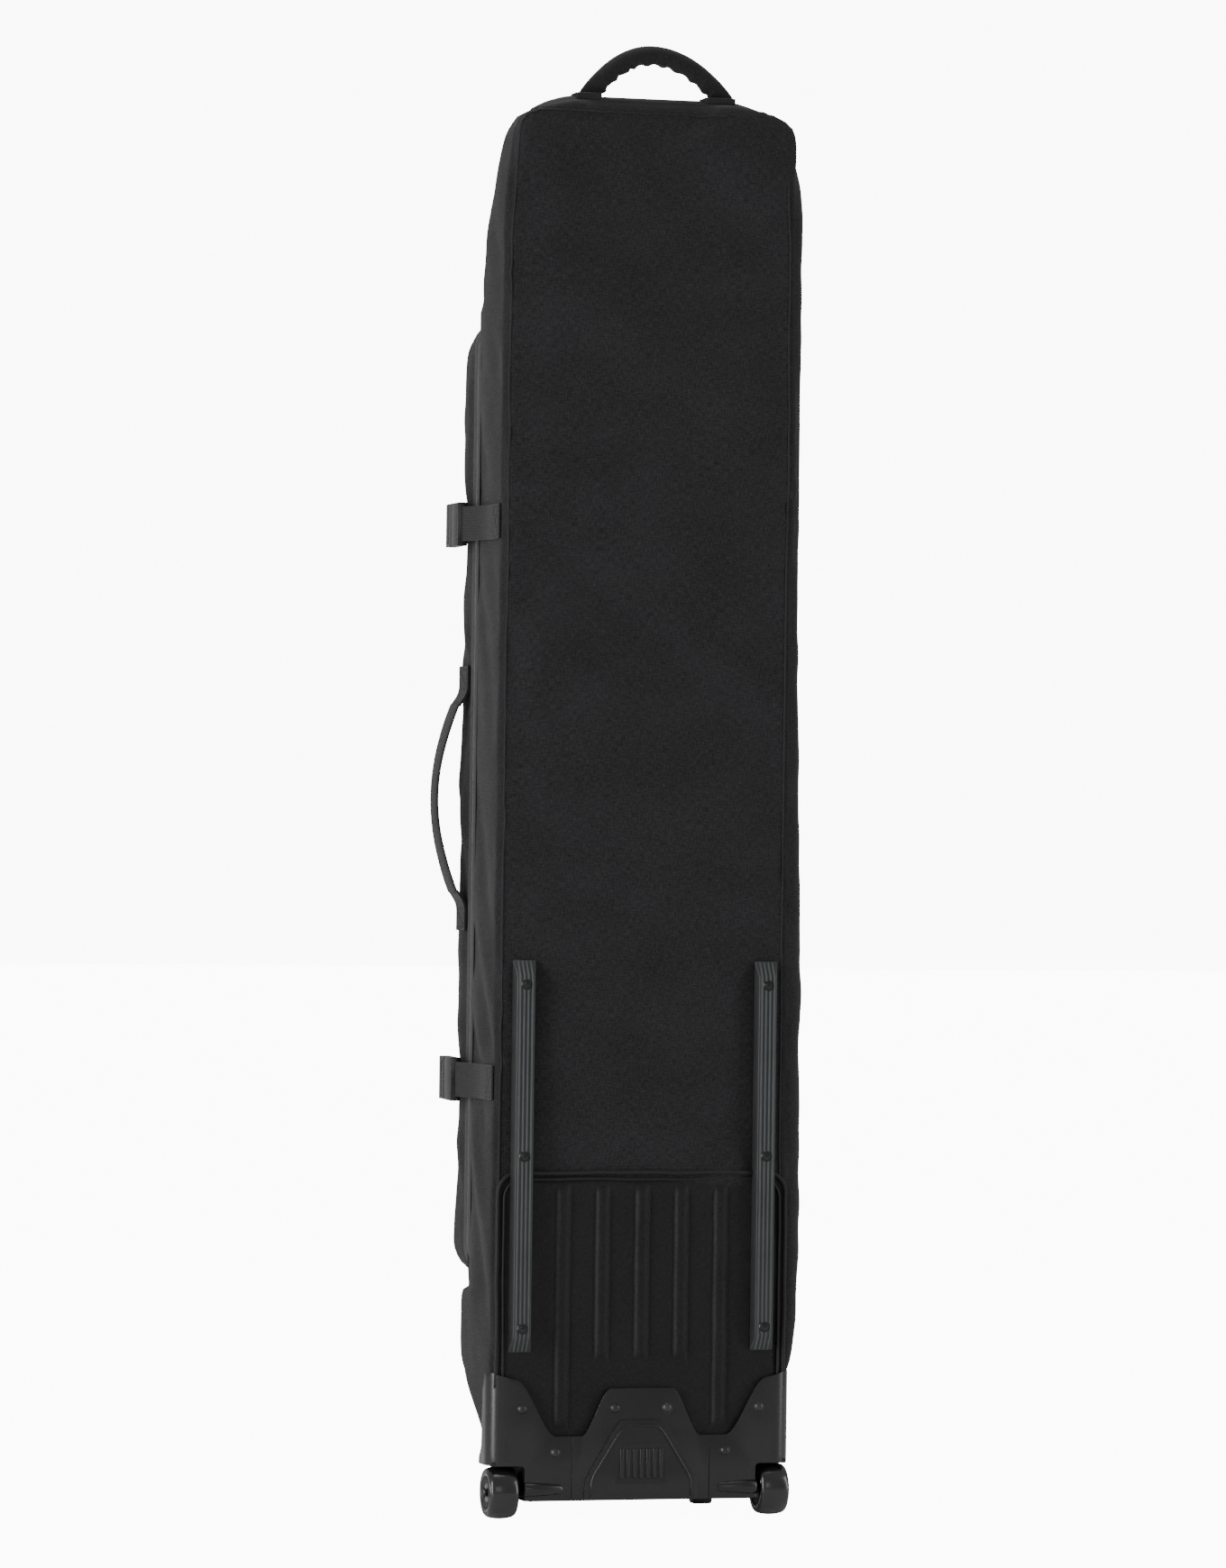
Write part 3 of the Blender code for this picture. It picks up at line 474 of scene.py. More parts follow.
def sectionPoint(u, halfWidth, rear, front, rearRadius, frontRadius):
    x, y = np.zeros_like(u), np.zeros_like(u)
    depth = front - rear
    rearRadius = np.minimum(rearRadius, depth * 0.45)
    frontRadius = np.minimum(frontRadius, depth * 0.8 - rearRadius)
    for part in range(8):
        inside = (u >= breaks[part]) & (u <= breaks[part + 1])
        t = (u - breaks[part]) / (breaks[part + 1] - breaks[part])
        arc = t * math.pi / 2
        side = 1 if part in (0, 1, 2, 7) else -1
        if part in (0, 4):
            along = t if part == 0 else 1 - t
            px = side * halfWidth
            py = front - frontRadius - (depth - frontRadius - rearRadius) * along
        elif part == 1:
            px = halfWidth - rearRadius * (1 - np.cos(arc))
            py = rear + rearRadius * (1 - np.sin(arc))
        elif part == 3:
            px = -(halfWidth - rearRadius * (1 - np.sin(arc)))
            py = rear + rearRadius * (1 - np.cos(arc))
        elif part == 2:
            px = (halfWidth - rearRadius) * (1 - 2 * t)
            py = rear + 0 * t
        elif part == 5:
            px = -(halfWidth - frontRadius * (1 - np.cos(arc)))
            py = front - frontRadius * (1 - np.sin(arc))
        elif part == 6:
            px = -(halfWidth - frontRadius) * (1 - 2 * t)
            py = front + 0 * t
        else:
            px = halfWidth - frontRadius * (1 - np.sin(arc))
            py = front - frontRadius * (1 - np.cos(arc))
        x, y = np.where(inside, px, x), np.where(inside, py, y)
    return x, y


def tubShape(u, v):
    wallShare, capShare = 0.92, 0.08
    z = tub["bottom"] + (seamZ - tub["bottom"]) * np.clip(v / wallShare, 0, 1)
    inset = np.clip((v - wallShare) / capShare, 0, 1)
    opening = smooth((z - lidLow.z + 0.010) / 0.012) * smooth((lidHigh.z + 0.010 - z) / 0.012)
    lowRound = 0.080 * smooth((0.200 - z) / 0.14)
    frontRadius = tub["frontCorner"] * (1 - opening) + 0.0015 + lowRound
    rear, front = backY + tub["drawnIn"] * smooth((0.094 - z) / 0.026), tubFront(z)
    x, y = sectionPoint(u, tubHalf(z), rear, front, tub["backCorner"], frontRadius)
    middle = (rear + front) / 2
    deep = (front - rear) / 2
    y = middle + (y - middle) * (1 - inset)
    x = np.sign(x) * np.maximum(np.abs(x) - deep * inset, 0.0)
    level = 1 - 0.92 * smooth((np.abs(x) - tub["domeFlat"]) / 0.075)
    z = z + tub["dome"] * np.sqrt(np.clip(1 - (1 - inset) ** 2, 0, 1)) * level
    return midX + x, y, z


def tubField(x, y, z, normal):
    a = x - midX
    onBack = smooth((-normal[:, 1] - 0.6) / 0.3)
    onSide = smooth((np.abs(normal[:, 0]) - 0.6) / 0.3)
    onFront = smooth((normal[:, 1] - 0.5) / 0.3)
    onRight = smooth((normal[:, 0] - 0.35) / 0.3)
    rim = smooth((seamZ - 0.004 - z) / 0.03) * smooth((z - 0.10) / 0.05)
    edge = np.clip(tubHalf(z) - tub["backCorner"] - np.abs(a), 0.0, 1.0)
    amount = onBack * tub["crown"] * smooth(edge / 0.05) * rim
    amount += onBack * 0.0042 * softNoise(a, z, 0.12, 3)
    slack = smooth((z - 0.60) / 0.15) * smooth((1.32 - z) / 0.2) * 0.7 + 0.3
    amount += onBack * 0.0085 * folds(a, z, -38.0, 0.34, 0.052, 11) * slack * smooth(edge / 0.03)
    # puckers drawn in by the seam stitching
    seamPull = np.exp(-edge / 0.016) * onBack
    amount += seamPull * 0.0028 * softNoise(z, a * 0.3, 0.020, 21)
    corner = smooth((z - (topZ - 0.16)) / 0.1) * onBack
    amount += corner * 0.0105 * folds(np.abs(a), z, 58.0, 0.16, 0.038, 31)
    # seam groove where back panel and gusset meet
    seamSide = tubHalf(z) - tub["seamInset"] - tub["seamShift"] * smooth(a / 0.1)
    groove = bump(np.abs(a) - seamSide, 0.0026) * (normal[:, 1] < -0.3)
    amount -= groove * 0.0026
    depthShare = (y - backY) / np.maximum(tubFront(z) - backY, 0.01)
    middle = np.sin(np.clip(depthShare, 0, 1) * math.pi)
    amount += onSide * 0.0040 * middle * rim
    amount += onSide * 0.0060 * folds(y, z, 62.0, 0.22, 0.034, 41) * middle
    amount += onSide * 0.0016 * softNoise(y, z, 0.030, 43) * (1 - middle * 0.5)
    depthRight = np.clip((zipY - 0.010 - y) / 0.06, 0, 1)
    load = 0.006 + 0.009 * smooth((1.10 - z) / 0.60)
    load *= smooth((1.58 - z) / 0.06) * smooth((z - 0.13) / 0.10) * smooth(depthRight)
    amount += onRight * load * smooth((y - backY) / 0.012)
    for level in strapZ.values():
        held = (1 - onRight) * onSide * bump(z - level, 0.034)
        amount = amount * (1 - held) - 0.0008 * held
    amount += onFront * (0.0040 * smooth((half - 0.02 - np.abs(a)) / 0.05)
                         + 0.0030 * folds(a, z, 20.0, 0.2, 0.05, 51)) * rim * (
                             1 - smooth((z - 1.30) / 0.04) * smooth((1.46 - z) / 0.05))
    # room for the two pulls when they are turned up
    amount -= onFront * 0.0035 * bump(z - 1.408, 0.034)
    # keeps the cloth flat where rails and cover lie on it
    pressed = smooth((0.66 - z) / 0.03) * onBack
    railSide = bump(np.abs(a) - 0.144, 0.022)
    amount = np.where(onBack > 0.3, np.maximum(amount, -0.0012), amount)
    return amount * (1 - pressed * railSide * 0.8) * (1 - 0.75 * smooth((0.40 - z) / 0.03) * onBack)


def linedShell(obj, wall):
    # body cloth outside and lining inside a padded wall
    obj.data.materials.append(bodyCloth)
    obj.data.materials.append(liningCloth)
    applyModifier(obj, "SOLIDIFY", thickness=wall, offset=-1.0, material_offset=1)
    shade(obj, 60.0)


def inOpening(centre, normal):
    tall = lidLow.z + 0.004 < centre.z < lidHigh.z - 0.002
    return tall and centre.y > zipY - 0.0033 and abs(centre.x - midX) < half - 0.0006


shellNodes = ["back_panel", "side_gusset_left", "side_gusset_right", "top_gusset",
              "front_panel_upper", "front_panel_lower"]
tubShell = gridPiece("tubShell", tub["columns"], tub["rows"], tubShape, True, (0.95, 1.7))
onFaces(tubShell, inOpening, bpy.ops.mesh.delete, type="FACE")
sculpt(tubShell, tubField)
inEditMode(tubShell, (bpy.ops.mesh.select_all, {"action": "DESELECT"}))
for vert in tubShell.data.vertices:
    vert.select = abs(vert.co.z - tub["bottom"]) < 0.0012
activate(tubShell)
bpy.ops.object.mode_set(mode="EDIT")
bpy.ops.mesh.edge_face_add()
bpy.ops.object.mode_set(mode="OBJECT")
linedShell(tubShell, tub["wall"])
settle(tubShell, "tub", None, shellNodes)
print("tub shell", len(tubShell.data.polygons))

# lid
lid = {
    "corner": 0.050,
    "edgeRadius": 0.024,
    "depth": 0.074,
    "columns": 420,
    "rows": 46,
    "wall": 0.0025,
    "topRound": 0.085,         # how soon the lid reaches its full depth from its top end
    "lowRound": 0.050,
    "wallShare": 0.34,         # shares of the cloth's width taken by the wall and by the edge
    "edgeShare": 0.20,
}
lidHalfZ = (lidHigh.z - lidLow.z) / 2
lidMidZ = (lidHigh.z + lidLow.z) / 2


def lidDepth(z):
    high = np.clip((lidHigh.z - z) / lid["topRound"], 0.0, 1.0)
    low = np.clip((z - lidLow.z) / lid["lowRound"], 0.0, 1.0)
    ends = np.sqrt(np.clip(1 - (1 - high) ** 2, 0, 1)) * np.sqrt(np.clip(1 - (1 - low) ** 2, 0, 1))
    squeeze = 0.20 * bump(z - strapZ["upper"], 0.060) + 0.16 * bump(z - strapZ["lower"], 0.060)
    full = lid["depth"] * (1.0 - squeeze + 0.05 * smooth((0.45 - z) / 0.1))
    return 0.012 + (full - 0.012) * ends


def roundedLoop(u, halfX, halfZ, radius):
    # point on a rounded rectangle; u runs by length of the outline from the right side's middle
    straightZ, straightX, arc = halfZ - radius, halfX - radius, radius * math.pi / 2
    total = 4 * (straightZ + straightX + arc)
    s = np.mod(u, 1.0) * total
    quarter = total / 4
    q = np.minimum((s // quarter).astype(int), 3)
    r = s - q * quarter
    down = q % 2 == 1
    first = np.where(down, straightX, straightZ)
    a = np.clip((r - first) / arc, 0, 1) * math.pi / 2
    past = np.clip(r - first - arc, 0, None)
    onFirst = r < first
    # quarter drawn from (halfX, 0) to (0, halfZ) or, when mirrored, the other way round
    xx = np.where(down, np.minimum(r, straightX) + radius * np.sin(a) * (~onFirst),
                  np.where(onFirst, halfX, straightX + radius * np.cos(a)) - past)
    zz = np.where(down, np.where(onFirst, halfZ, straightZ + radius * np.cos(a)) - past,
                  np.minimum(r, straightZ) + radius * np.sin(a) * (~onFirst))
    signX = np.where((q == 0) | (q == 3), 1, -1)
    signZ = np.where(q < 2, 1, -1)
    return xx * signX, zz * signZ


def lidShape(u, v):
    wallShare, edgeShare = lid["wallShare"], lid["edgeShare"]
    x, z = roundedLoop(u, half, lidHalfZ, lid["corner"])
    faceShare = 1 - wallShare - edgeShare
    onWall = np.clip(v / wallShare, 0, 1)
    onEdge = np.clip((v - wallShare) / edgeShare, 0, 1)
    onFace = np.clip((v - wallShare - edgeShare) / faceShare, 0, 1)
    rim = zipY + 0.001
    depth = lidDepth(z + lidMidZ)
    radius = np.minimum(lid["edgeRadius"], depth * 0.6)
    arc = onEdge * math.pi / 2
    drawn = radius * (1 - np.cos(arc)) + (half - radius) * onFace
    innerZ = np.sign(z) * np.maximum(np.abs(z) - drawn, 0.0)
    wallY = rim + (depth - radius) * onWall + radius * np.sin(arc)
    # points of the face take the depth of the height they lie at
    faceY = rim + lidDepth(innerZ + lidMidZ)
    blendIn = smooth(onEdge)
    edgeY = wallY * (1 - blendIn) + (faceY - radius * (1 - np.sin(arc))) * blendIn
    y = np.where(onFace > 0, faceY, edgeY)
    return midX + x * np.maximum(half - drawn, 0.0) / half, y, lidMidZ + innerZ


def lidField(x, y, z, normal):
    a = x - midX
    onFront = smooth((normal[:, 1] - 0.5) / 0.3)
    onSide = smooth((np.abs(normal[:, 0]) - 0.5) / 0.3)
    centre = smooth((half - np.abs(a)) / 0.11)
    amount = onFront * 0.0070 * centre * (1 - 0.7 * bump(z - strapZ["upper"], 0.05)
                                          - 0.7 * bump(z - strapZ["lower"], 0.05))
    amount += onFront * 0.0030 * softNoise(a, z, 0.11, 61)
    amount += onFront * 0.0030 * folds(a, z, 28.0, 0.26, 0.05, 63)
    near = bump(z - strapZ["upper"], 0.11) + bump(z - strapZ["lower"], 0.11)
    amount += onFront * near * 0.0030 * folds(a, z, 80.0, 0.12, 0.028, 65)
    out = smooth((y - zipY - 0.012) / 0.02)
    amount += onSide * out * (0.0030 * folds(y, z, 55.0, 0.12, 0.035, 67)
                              + 0.0018 * softNoise(y, z, 0.028, 69))
    amount += onSide * out * 0.0030 * np.sin(np.clip((y - zipY) / 0.06, 0, 1) * math.pi)
    pulledIn = bump(z - strapZ["upper"], 0.03) + bump(z - strapZ["lower"], 0.03)
    amount -= onSide * out * 0.0025 * pulledIn
    return amount


lidShell = gridPiece("lidShell", lid["columns"], lid["rows"], lidShape, True, (2.8, 0.28))
sculpt(lidShell, lidField)
linedShell(lidShell, lid["wall"])
settle(lidShell, "lid", None, ["lid_band", "lid_panel"])
print("lid shell", len(lidShell.data.polygons))

# hinge cloth on the right side, crossing from tub to lid
hinge = {"back": 0.016, "front": 0.016, "bulge": 0.0022, "short": 0.068, "wall": 0.0010}


def hingeShape(u, v):
    z = lidLow.z + hinge["short"] + (lidHigh.z - lidLow.z - 2 * hinge["short"]) * u
    y = zipY - hinge["back"] + (hinge["back"] + hinge["front"]) * v
    bow = hinge["bulge"] * np.sin(v * math.pi) + 0.0006 * softNoise(z, y, 0.03, 71)
    return midX + half + 0.0028 + bow, y, z


hingeCloth = gridPiece("hingeCloth", 260, 12, hingeShape, False, (0.95, 0.032))
applyModifier(hingeCloth, "SOLIDIFY", thickness=hinge["wall"], offset=0.0)
shade(hingeCloth, 60.0)
hingeCloth.data.materials.append(bodyCloth)
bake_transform(hingeCloth)

# cords, dashes and ribbons that lie on a shell
def onSkin(shell, point, lift):
    place, normal = shell.closest_point_on_mesh(Vector(point))[1:3]
    outward = Vector(point) - place
    if outward.length > 1e-6 and outward.dot(normal) < 0:
        normal = -normal
    return place + normal * lift


def cordPiece(name, shell, points, radius, lift, closed=False):
    path = [onSkin(shell, point, lift) for point in points]
    return tubePiece(name, path, radius, 8, closed)


def stitchPiece(name, paths, length=0.0034, gap=0.0020, radius=0.00045):
    # runs of thread dashes along the given paths
    curve = bpy.data.curves.new(name, "CURVE")
    curve.dimensions = "3D"
    curve.bevel_depth = radius
    curve.bevel_resolution = 0
    curve.use_fill_caps = True
    for path in paths:
        points = [Vector(p) for p in path]
        run = [0.0]
        for a, b in zip(points, points[1:]):
            run.append(run[-1] + (b - a).length)
        count = max(int(run[-1] / (length + gap)), 1)
        for step in range(count):
            ends = []
            for s in (step * (length + gap), step * (length + gap) + length):
                ends.append([float(np.interp(s, run, [p[k] for p in points])) for k in range(3)])
            spline = curve.splines.new("POLY")
            spline.points.add(1)
            spline.points[0].co = (*ends[0], 1.0)
            spline.points[1].co = (*ends[1], 1.0)
    obj = bpy.data.objects.new(name, curve)
    bpy.context.scene.collection.objects.link(obj)
    activate(obj)
    bpy.ops.object.convert(target="MESH")
    return bpy.context.object


def along(path, share):
    # points at the given shares of a path's length
    places = np.array(path, dtype=float)
    steps = np.concatenate([[0.0], np.cumsum(np.linalg.norm(np.diff(places, axis=0), axis=1))])
    s = np.asarray(share) * steps[-1]
    return np.stack([np.interp(s, steps, places[:, k]) for k in range(3)], axis=-1), steps[-1]


def rounded(path, radius, steps=6):
    # the same path with its inner corners rounded
    points = [Vector(p) for p in path]
    smoothPath = [points[0]]
    for before, corner, after in zip(points, points[1:], points[2:]):
        reach = min(radius, (before - corner).length * 0.45, (after - corner).length * 0.45)
        a = corner + (before - corner).normalized() * reach
        b = corner + (after - corner).normalized() * reach
        for step in range(steps + 1):
            t = step / steps
            smoothPath.append(a * (1 - t) ** 2 + corner * 2 * t * (1 - t) + b * t ** 2)
    smoothPath.append(points[-1])
    return smoothPath


def ribbonPiece(name, path, width, thickness, across=(0.0, 0.0, 1.0), columns=60, shell=None,
                lift=0.0):
    # flat webbing along a path; on a shell it follows the cloth under it
    length = along(path, [1.0])[1]

    def shape(u, v):
        places = along(path, u)[0] + np.outer((v - 0.5) * width, np.array(across))
        if shell:
            places = np.array([onSkin(shell, p, lift) for p in places])
        return places[:, 0], places[:, 1], places[:, 2]

    obj = gridPiece(name, columns, 8, shape, False, (length, width))
    applyModifier(obj, "SOLIDIFY", thickness=thickness, offset=0.0)
    shade(obj, 50.0)
    return obj


cordCloth = mouldedMaterial("cordedPolyester", "#0b0b0c", "#151416", 0.0010, 0.65, 0.3)
# heavy bonded thread, a touch lighter than the cloth
thread = mouldedMaterial("bondedThread", "#2c2b2d", "#3a383b", 0.0006, 0.5, 0.2)


def seamOutline(inset, lowest):
    heights = np.concatenate([np.linspace(lowest, seamZ - 0.030, 90),
                              seamZ - 0.030 * (1 - np.linspace(0.05, 1.0, 24)) ** 1.6])
    rise = [(-(tubHalf(z) - inset), backY - 0.004, z) for z in heights]
    cornerX = rise[-1][0]
    level = [(x, backY - 0.004, seamZ) for x in np.linspace(cornerX, -cornerX, 80)[1:-1]]
    run = rise + level + [(-x, y, z) for x, y, z in reversed(rise)]
    return [(midX + float(x - tub["seamShift"] * smooth(x / 0.1)), y, float(z)) for x, y, z in run]


backSeam = cordPiece("backSeamCord", tubShell, seamOutline(tub["seamInset"], 0.17),
                     0.0011, 0.0001)
settle(backSeam, "tub", cordCloth)

# ribbed lower cover with its double binding
cover = {"corner": 0.022, "ribs": 5, "pitch": 0.0469, "ribWidth": 0.0075, "ribHigh": 0.0034,
         "outerLow": 0.100, "innerLow": 0.178, "ribTop": 0.383, "wall": 0.0020}
coverLow, coverHigh = coverBox
coverHalf = (coverHigh.x - coverLow.x) / 2
coverY = coverLow.y + 0.0030


def coverShape(u, v):
    z = coverLow.z + (coverHigh.z - coverLow.z) * v
    rise = np.clip((z - (coverHigh.z - cover["corner"])) / cover["corner"], 0.0, 1.0)
    wide = coverHalf - cover["corner"] * (1 - np.sqrt(np.clip(1 - rise ** 2, 0.0, 1.0)))
    a = (2 * u - 1) * wide
    relief = np.zeros_like(a)
    for rib in range(cover["ribs"]):
        place = (rib - (cover["ribs"] - 1) / 2) * cover["pitch"]
        low = cover["outerLow"] if abs(place) > cover["pitch"] * 1.5 else cover["innerLow"]
        run = smooth((z - low) / 0.012) * smooth((cover["ribTop"] - z) / 0.012)
        lean = a - place
        dome = np.sqrt(np.clip(1 - (lean / cover["ribWidth"]) ** 2, 0, 1))
        relief += cover["ribHigh"] * run * dome
        relief -= 0.0008 * run * bump(np.abs(lean) - cover["ribWidth"] - 0.001, 0.003)
    relief += 0.0009 * softNoise(a, z, 0.05, 81) + 0.0005 * softNoise(a, z, 0.015, 83)
    rim = np.minimum(coverHalf - np.abs(a), coverHigh.z - z)
    relief -= 0.0018 * np.exp(-np.maximum(rim - 0.007, 0.0) / 0.004)
    return midX + a, coverY - relief, z


ribbedCover = gridPiece("ribbedCover", 240, 120, coverShape, False,
                        (2 * coverHalf, coverHigh.z - coverLow.z))
applyModifier(ribbedCover, "SOLIDIFY", thickness=cover["wall"], offset=-1.0)
shade(ribbedCover, 60.0)
settle(ribbedCover, "tub", coverCloth, ["ribbed_cover"])


def coverOutline(inset, lift):
    corner = cover["corner"]
    side, top = coverHalf - inset, coverHigh.z - inset
    path = [(-side, z) for z in np.linspace(0.150, top - corner, 40)]
    path += [(-side + corner * (1 - math.cos(t)), top - corner * (1 - math.sin(t)))
             for t in np.linspace(0.1, math.pi / 2, 9)]
    path += [(x, top) for x in np.linspace(-side + corner, 0.0, 24)[1:]]
    path += [(-x, z) for x, z in reversed(path[:-1])]
    return [(midX + x, coverY - lift, z) for x, z in path]


def wavy(path, seed):
    return [(x + 0.0007 * float(softNoise(np.array(z), np.array(x), 0.03, seed)), y,
             z + 0.0007 * float(softNoise(np.array(x), np.array(z), 0.03, seed + 1)))
            for x, y, z in path]


outerPath = []
for point in wavy(coverOutline(-0.001, 0.0030), 85):
    onShell = onSkin(tubShell, point, 0.0012)
    outerPath.append((point[0], min(onShell.y, coverY + 0.0004), point[2]))
bindingOuter = tubePiece("coverBindingOuter", outerPath, 0.0026, 10)
settle(bindingOuter, "tub", cordCloth)
bindingInner = tubePiece("coverBindingInner", wavy(coverOutline(0.006, 0.0004), 87), 0.0017, 8)
settle(bindingInner, "tub", cordCloth)
print("cover ready")

# moulded base: flat mouldings with a wavy upper edge, bent round the outer corners
base = {"wall": 0.0045, "radius": 0.020, "edge": 0.0010, "split": 0.0819, "floorZ": 0.021,
        "low": 0.0945, "hump": 0.149, "shoulder": 0.160, "end": 0.168, "noseZ": 0.068,
        "wellInner": 0.1375, "wellTop": 0.0617, "wellDeep": 0.0575, "nose": 0.044,
        "trayHalf": 0.1335, "bends": 14, "footX": 0.120, "footHalf": 0.012,
        "footLow": (0.0525, 0.0), "footHigh": (0.0715, 0.023)}
housingLow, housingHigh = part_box("wheel_housing_left")
baseHalf = midX - housingLow.x
baseFront = housingHigh.y


def waveTop(a):
    a = abs(a)
    top = base["low"] + (base["hump"] - base["low"]) * float(smooth((0.071 - a) / 0.035))
    top += (base["shoulder"] - base["low"]) * float(smooth((a - 0.100) / 0.050))
    return top + (base["end"] - base["shoulder"]) * min(max((a - 0.150) / 0.030, 0.0), 1.0)


# runs along a housing's back, from the split to its bend and to its side wall
flatRun = baseHalf - base["radius"] - base["split"]
sideStart = flatRun + base["radius"] * math.pi / 2
noseRun = sideStart + base["nose"] - base["radius"]


def bentPanel(name, outline, sign):
    # an outline in (run, height) filled, cut into strips, bent, and given its wall
    bpy.ops.mesh.primitive_circle_add(vertices=len(outline), fill_type="NGON")
    obj = bpy.context.object
    obj.name = name
    for vert, (run, height) in zip(obj.data.vertices, outline):
        vert.co = (run, 0.0, height)
    steps = [(bpy.ops.mesh.quads_convert_to_tris, {})]
    cuts = np.linspace(flatRun, sideStart, base["bends"] + 1) if sign else []
    for cut in cuts:
        steps += [(bpy.ops.mesh.select_all, {"action": "SELECT"}),
                  (bpy.ops.mesh.bisect, {"plane_co": (float(cut), 0, 0),
                                         "plane_no": (1, 0, 0)})]
    inEditMode(obj, *steps)
    for vert in obj.data.vertices:
        run, height = vert.co.x, vert.co.z
        if not sign:
            vert.co = (midX + run, baseY, height)
            continue
        turn = min(max((run - flatRun) / base["radius"], 0.0), math.pi / 2)
        x = base["split"] + min(run, flatRun) + base["radius"] * math.sin(turn)
        y = baseY + base["radius"] * (1 - math.cos(turn)) + max(run - sideStart, 0.0)
        vert.co = (midX + sign * x, y, height)
    inEditMode(obj, (bpy.ops.mesh.normals_make_consistent, {"inside": False}))
    middle = obj.data.polygons[0]
    faceOut = middle.normal.y if abs(middle.normal.y) > 0.5 else -middle.normal.x * sign
    if faceOut > 0:
        inEditMode(obj, (bpy.ops.mesh.flip_normals, {}))
    applyModifier(obj, "SOLIDIFY", thickness=base["wall"], offset=-1.0)
    applyModifier(obj, "BEVEL", width=base["edge"], segments=3, limit_method="ANGLE",
                  angle_limit=math.radians(50.0))
    shade(obj, 35.0)
    return obj


def cornered(points, radius, steps=5):
    path = rounded([(x, 0.0, z) for x, z in points], radius, steps)
    return [(p[0], p[2]) for p in path]


def joinAll(objects, name):
    bpy.ops.object.select_all(action="DESELECT")
    for part in objects:
        part.select_set(True)
    bpy.context.view_layer.objects.active = objects[0]
    bpy.ops.object.join()
    joined = bpy.context.object
    joined.name = name
    return joined


wellRun = base["wellInner"] - base["split"]
bossProfile = [(0.0, 0.0), (0.0048, 0.0004), (0.0062, 0.003), (0.0082, 0.030), (0.0088, 0.044),
               (0.0080, 0.0455), (0.0, 0.0455)]
for side, sign in (("left", -1), ("right", 1)):
    low = [(0.0003, base["floorZ"]), (wellRun, base["floorZ"]), (wellRun, base["wellTop"]),
           (noseRun, base["wellTop"])]
    slope = [(noseRun, base["noseZ"]), (noseRun - 0.010, base["noseZ"] + 0.014),
             (sideStart + 0.010, base["end"] - 0.022), (sideStart + 0.002, base["end"] - 0.002)]
    upper = [(float(run), waveTop(base["split"] + float(run)))
             for run in np.linspace(baseHalf - base["split"] - 0.002, 0.0003, 64)]
    outline = cornered(low, 0.006)[:-1] + [low[-1]] + slope + upper
    panel = bentPanel(side + "Housing", outline, sign)
    # the wheel well: an inner wall, a roof, and a front that stays out of sight past the wheel
    inner, rear, front = base["wellInner"] - 0.003, baseY + 0.003, baseY + base["wellDeep"]
    inFromSide = 0.026 if side == "left" else 0.006
    well = []
    for name, outer, nearY, lowZ in (("wall", base["wellInner"], rear, base["floorZ"]),
                                     ("roof", baseHalf - base["wall"], rear,
                                      base["wellTop"] - 0.0010),
                                     ("front", baseHalf - inFromSide, front, base["floorZ"])):
        x0, x1 = sorted((midX + sign * inner, midX + sign * outer))
        well.append(boxPiece(name, (x0, nearY, lowZ),
                             (x1, front + 0.003, base["wellTop"] + 0.004), 0.0008))
    settle(joinAll(well, side + "WheelWell"), "tub", hubNylon)
    bossAxis = (float(sign), 0.0, 0.0)
    boss = lathePiece(side + "AxleCover", bossProfile,
                      (midX + sign * 0.0925, baseY + 0.0030, 0.0345), bossAxis, 40)
    settle(boss, "tub", baseMould)
    footX = midX + sign * base["footX"]
    foot = boxPiece(side + "Foot", (footX - base["footHalf"], *base["footLow"]),
                    (footX + base["footHalf"], *base["footHigh"]), 0.003, 3)
    shade(foot, 40.0)
    settle(foot, "tub", hubNylon)
    settle(panel, "tub", baseMould, ["wheel_housing_" + side])

plateOutline = [(-base["split"] + 0.0003, base["floorZ"]), (base["split"] - 0.0003, base["floorZ"])]
plateOutline += [(float(a), waveTop(a)) for a in
                 np.linspace(base["split"] - 0.0003, -base["split"] + 0.0003, 90)]
centrePlate = bentPanel("centrePlate", plateOutline, 0)
settle(centrePlate, "tub", baseMould, ["base_centre_plate"])
tray = boxPiece("baseTray", (midX - base["trayHalf"], baseY + 0.058, base["floorZ"]),
                (midX + base["trayHalf"], baseFront, base["floorZ"] + 0.0065), 0.0015, 3)
trayRear = boxPiece("rearTray", (midX - base["wellInner"], baseY + 0.002, base["floorZ"]),
                    (midX + base["wellInner"], baseY + 0.0625, base["floorZ"] + 0.0045), 0.0010, 2)
tray = joinAll([tray, trayRear], "baseTray")
shade(tray, 40.0)
settle(tray, "tub", baseMould)

bumper = {"border": 0.0012, "sunk": 0.0034, "ribs": 7, "ribWide": 0.0042, "ribTall": 0.034,
          "ribPitch": 0.0078, "ribLow": 0.046, "topZ": 0.109, "topHalf": 0.026,
          "lowHalf": 0.062, "kneeZ": 0.046}
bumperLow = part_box("base_bumper")[0]
padOutline = [(-bumper["lowHalf"] - 0.006, 0.0215), (bumper["lowHalf"] + 0.006, 0.0215),
              (bumper["lowHalf"] + 0.004, bumper["kneeZ"]), (bumper["topHalf"], 0.113),
              (-bumper["topHalf"], 0.113), (-bumper["lowHalf"] - 0.004, bumper["kneeZ"])]
padOutline = cornered(padOutline + [padOutline[0]], 0.008)[:-1]
bumperPad = bentPanel("bumperPad", padOutline, 0)
bumperPad.location.y = bumperLow.y - baseY + bumper["sunk"]
settle(bumperPad, "tub", baseMould, ["base_bumper"])
face = bumperLow.y + bumper["sunk"]
border = [(-bumper["lowHalf"] + 0.002, 0.0250), (-bumper["lowHalf"] + 0.003, bumper["kneeZ"]),
          (-bumper["topHalf"] + 0.005, bumper["topZ"] - 0.002)]
border += [(-x, z) for x, z in reversed(border)]
